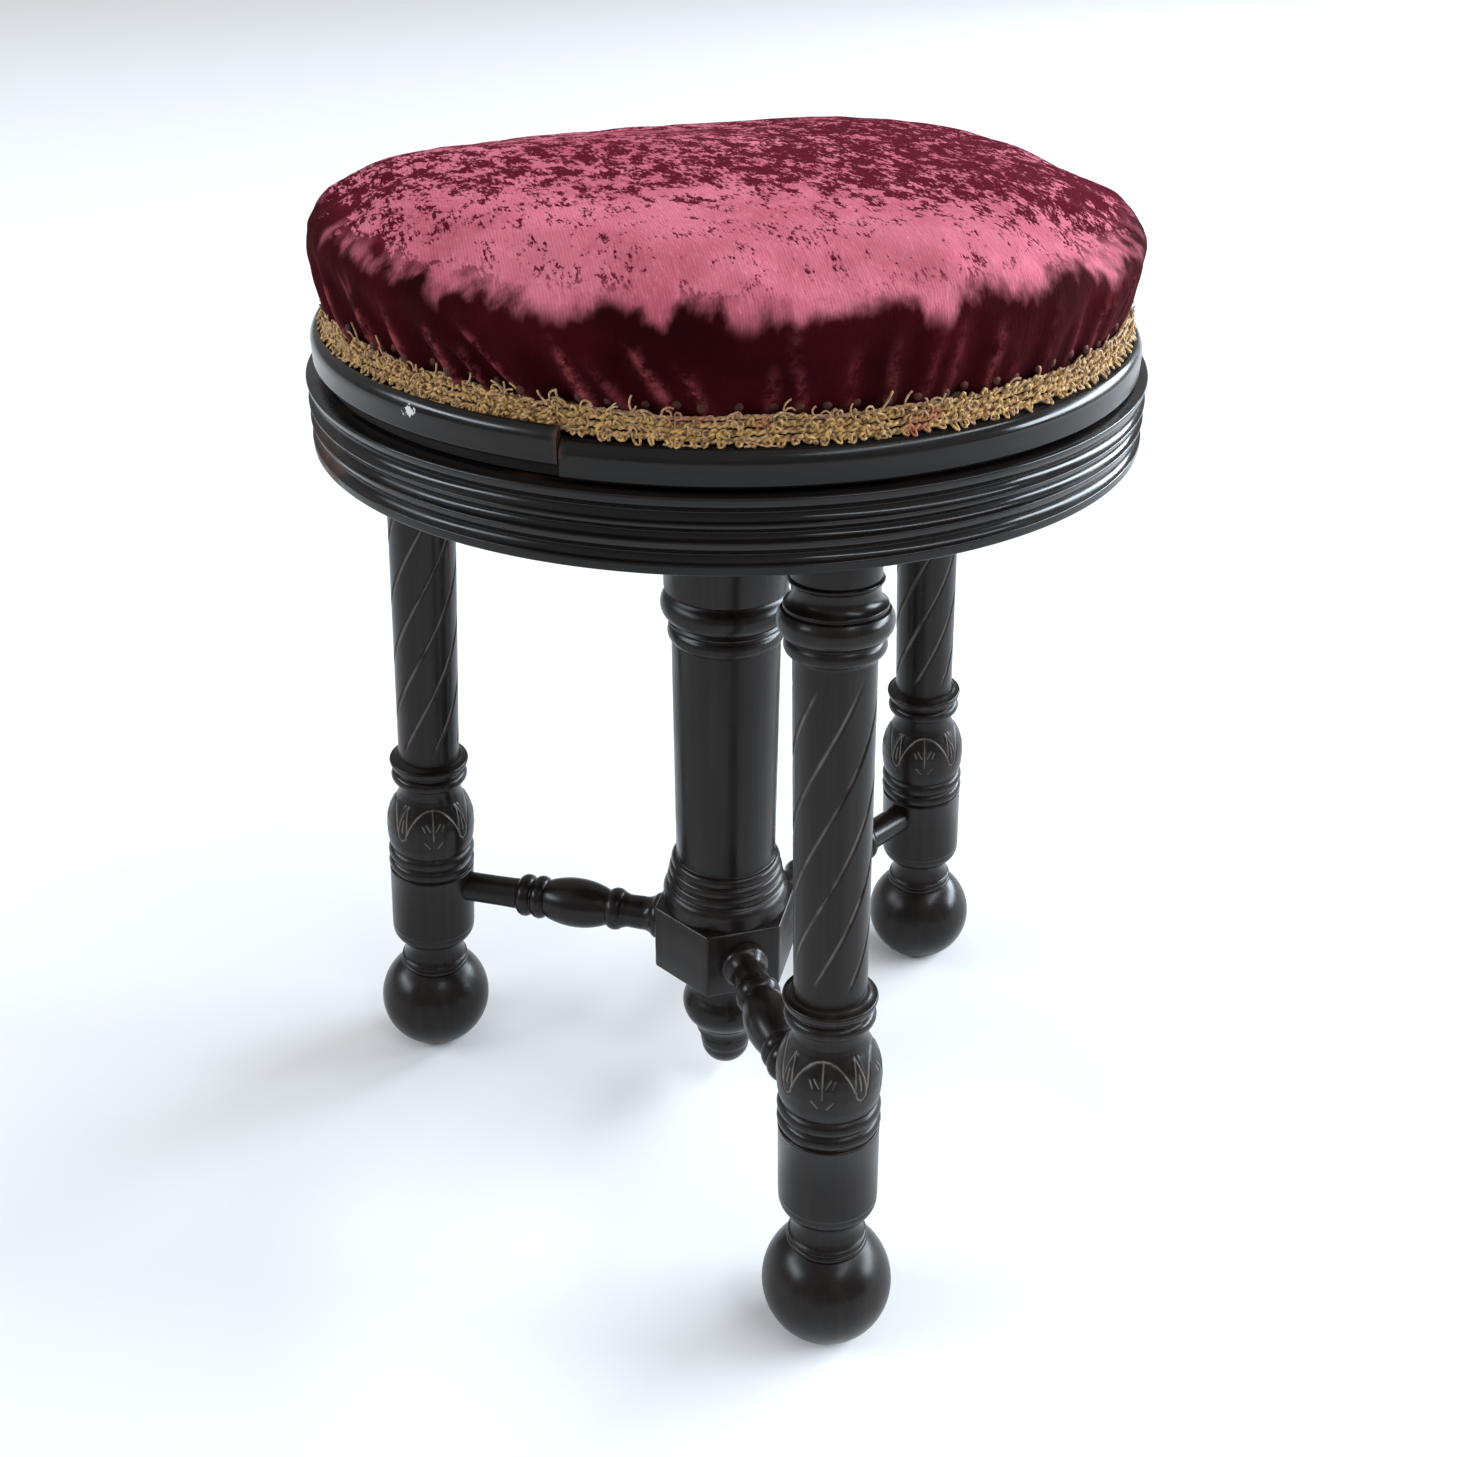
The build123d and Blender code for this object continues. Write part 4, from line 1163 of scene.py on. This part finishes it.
def thread_piece(name, strands, thickness, sides=0, closed=False, taper=None):
    """Many threads as one mesh: each strand is a list of places, and bevel gives it thickness."""
    curve = bpy.data.curves.new(name, "CURVE")
    curve.dimensions = "3D"
    curve.bevel_depth = thickness * MM
    curve.bevel_resolution = sides
    curve.resolution_u = 2
    curve.use_fill_caps = True
    for places in strands:
        spline = curve.splines.new("POLY")
        spline.points.add(len(places) - 1)
        spline.points.foreach_set("co", [value for place in places for value in (*place, 1.0)])
        spline.use_cyclic_u = closed
        if taper:
            spline.points.foreach_set("radius", taper)
        spline.use_smooth = True
    piece = bpy.data.objects.new(name, curve)
    scene.collection.objects.link(piece)
    select_only(piece)
    bpy.ops.object.convert(target="MESH")
    return bpy.context.object


print("braid at the front starts at", gimp_bottom(0), "mm, on the left at", gimp_bottom(-106), "mm")

# %% [markdown]
# Under everything lie three cords, each a pair of threads twisted round each other. A twist is a
# circle that travels, so each thread's place is the cord's place plus a small turning offset. A paler
# cord edges the top; the loops over it have worn away in places, so it shows as a straight line.

# %% Braid cords
CORD_RISES = (1.2, 3.6, 6.0)
EDGE_RISE = 8.2
CORD_TWISTS = 180
POINTS_PER_TWIST = 5


def twisted_cord(rise, ply, spread=0.6):
    """One of the two threads of a cord that runs all the way round."""
    places = []
    total = CORD_TWISTS * POINTS_PER_TWIST
    for number in range(total):
        share = number / total
        twist = 2 * math.pi * (share * CORD_TWISTS + ply / 2 + 0.13 * rise)
        sway = 0.4 * math.sin(40 * share * math.pi + rise * 3)
        out = 0.9 + spread * math.cos(twist)
        places.append(on_braid(360 * share, out, rise + sway + spread * math.sin(twist)))
    return places


cord_strands = [twisted_cord(rise, ply) for rise in CORD_RISES for ply in (0, 1)]
cords = thread_piece("gimp_cords", cord_strands, 0.85, closed=True)
dress(cords, gold, "seat", "gimp", "gimp_braid")
edge_strands = [twisted_cord(EDGE_RISE, ply, 0.35) for ply in (0, 1)]
edge_cord = thread_piece("gimp_edge_cord", edge_strands, 0.6, closed=True)
dress(edge_cord, straw, "seat", "gimp")

# %% [markdown]
# A stitch is a small hairpin of thread. Three rows of them lie over the cords like knitting, leaning
# left and right in turn. On the lower edge they hang over the rim, on the upper edge they stand up
# against the velvet, and each is drawn with its own width, length and tilt. Frayed ends wander off
# from the braid in a curl.

# %% Stitches and frayed ends
STITCHES = 220
FRAYED_ENDS = 300
LOOP_POINTS = 7


def hairpin(azimuth, start_rise, reach, width, tilt, out):
    """A loop that leaves the braid, turns and comes back."""
    places = []
    for number in range(LOOP_POINTS):
        share = number / (LOOP_POINTS - 1)
        swing = math.sin(math.pi * share)
        across = width * (share - 0.5) * (1 + 0.6 * swing) + tilt * swing
        turn = azimuth + math.degrees(across / HEM_RADIUS)
        places.append(on_braid(turn, 1.1 + out * swing, start_rise + reach * swing))
    return places


def frayed_end(azimuth):
    """A thread that has come loose and curls away."""
    rise = draw.choice((0.6, 1.2, 4.0, 7.0, 8.4, 8.4))
    heading = vary(0.2, 2.9) if rise > 3 else vary(-2.6, 0.6)
    curl = vary(-0.75, 0.75)
    step = vary(0.45, 1.0)
    across = 0.0
    places = []
    for number in range(9):
        turn = azimuth + math.degrees(across / HEM_RADIUS)
        places.append(on_braid(turn, 1.6 + 0.2 * number, max(rise, -0.4)))
        across += step * math.cos(heading)
        rise += step * math.sin(heading)
        heading += curl
    return places


stitches = []
for number in range(STITCHES):
    azimuth = 360 * number / STITCHES
    lean = 1 if number % 2 else -1
    loose = noise.noise(Vector((0.17 * azimuth, 3.0, 0.0)))
    for rise in (0.6, 3.0, 5.4):
        if loose > 0.15 and draw.random() < 0.5:
            continue
        stitches.append(hairpin(
            azimuth + vary(-0.5, 0.5) + 0.2 * rise, rise + vary(-0.6, 0.6), vary(1.4, 3.4),
            vary(1.2, 2.6), lean * vary(0.2, 2.2), vary(0.8, 2.3) + loose,
        ))
    stitches.append(hairpin(
        azimuth + vary(-0.4, 0.4), 1.2, -vary(1.0, 2.6), vary(1.2, 2.6), vary(-1.4, 1.4), vary(1.0, 2.6),
    ))
    if math.sin(math.radians(azimuth * 5)) + vary(-0.6, 0.6) > -0.35:
        stitches.append(hairpin(
            azimuth + vary(-0.4, 0.4), 7.0, vary(1.4, 3.4), vary(1.2, 2.8), vary(-1.6, 1.6), vary(0.2, 1.6),
        ))
frays = [frayed_end(vary(0, 360)) for number in range(FRAYED_ENDS)]
frays += [frayed_end(draw.gauss(-38, 16)) for number in range(FRAYED_ENDS // 4)]
braid_stitches = thread_piece("gimp_stitches", stitches, 0.6)
dress(braid_stitches, gold, "seat", "gimp")
braid_frays = thread_piece("gimp_frays", frays, 0.4)
dress(braid_frays, straw, "seat", "gimp")

# %% [markdown]
# Above the braid a row of upholstery tacks holds the velvet. A head is a very short thread that
# swells and closes again, so the same helper draws all of them. Each sits on the velvet at the radius
# of the nearest vertex, so that it follows the creases.

# %% Tacks
TACKS = 98
TACK_RISE = GIMP_HEIGHT + 2.6
TACK_RADIUS = 1.9
HEAD_RISES = (-0.6, 0.2, 0.6, 0.8)
HEAD_TAPER = (1.0, 0.95, 0.6, 0.15)
old_iron = metal("old_tack_iron", colour(72, 44, 40), colour(96, 64, 57), 0.6)
pad_places = points_of(pad) / MM
pad_azimuths = azimuths_of(pad_places)


def tack(azimuth, height):
    """A low domed head on the velvet, as places from its foot to its crown."""
    aside = np.radians((pad_azimuths - azimuth + 180) % 360 - 180) * HEM_RADIUS
    nearest = pad_places[np.argmin(np.hypot(aside, pad_places[:, 2] - height))]
    radius = math.hypot(nearest[0], nearest[1])
    return [around(azimuth, (radius + rise) * MM, height * MM) for rise in HEAD_RISES]


tacks = []
for number in range(TACKS):
    azimuth = 360 * (number + vary(-0.15, 0.15)) / TACKS
    height = gimp_bottom(azimuth) + TACK_RISE + vary(-0.6, 0.6)
    tacks.append(tack(azimuth, height))
tack_heads = thread_piece("velvet_tacks", tacks, TACK_RADIUS, 2, taper=HEAD_TAPER)
dress(tack_heads, old_iron, "seat", "iron")

# %% [markdown]
# The seat's screw shows only when the seat is wound up. Its thread is one small tooth outline that
# the Screw modifier carries up along the rod, as a lathe tool would cut it.

# %% The screw
SCREW_BOTTOM, SCREW_TOP = 232.2, 411.1
THREAD_PITCH = 10.0
THREAD_OUTER, THREAD_INNER = 11.0, 9.2


def threaded_rod(name):
    """A rod with a rounded square thread."""
    turns = int((SCREW_TOP - SCREW_BOTTOM) // THREAD_PITCH)
    tooth = outline((THREAD_INNER, 0), (THREAD_INNER, 4.6), (THREAD_OUTER - 0.3, 5.2), (THREAD_OUTER, 5.6),
                    (THREAD_OUTER, 9.2), (THREAD_OUTER - 0.3, 9.6), (THREAD_INNER, THREAD_PITCH))
    rod = draw_chain(name, [(radius, SCREW_BOTTOM + 3 + height) for radius, height in tooth])
    bpy.ops.object.mode_set(mode="OBJECT")
    winding = rod.modifiers.new("winding", "SCREW")
    winding.axis = "Z"
    winding.screw_offset = THREAD_PITCH * MM
    winding.iterations = turns - 1
    winding.steps = winding.render_steps = 40
    winding.use_merge_vertices = True
    winding.merge_threshold = 0.00002
    bpy.ops.object.modifier_apply(modifier=winding.name)
    places = points_of(rod)
    places[:, 2] = np.clip(places[:, 2], SCREW_BOTTOM * MM, SCREW_TOP * MM)
    move_points(rod, places)
    return close_mesh(rod, 40)


rod = threaded_rod("seat_screw_thread")
dress(rod, iron, "seat", "iron", "seat_screw")
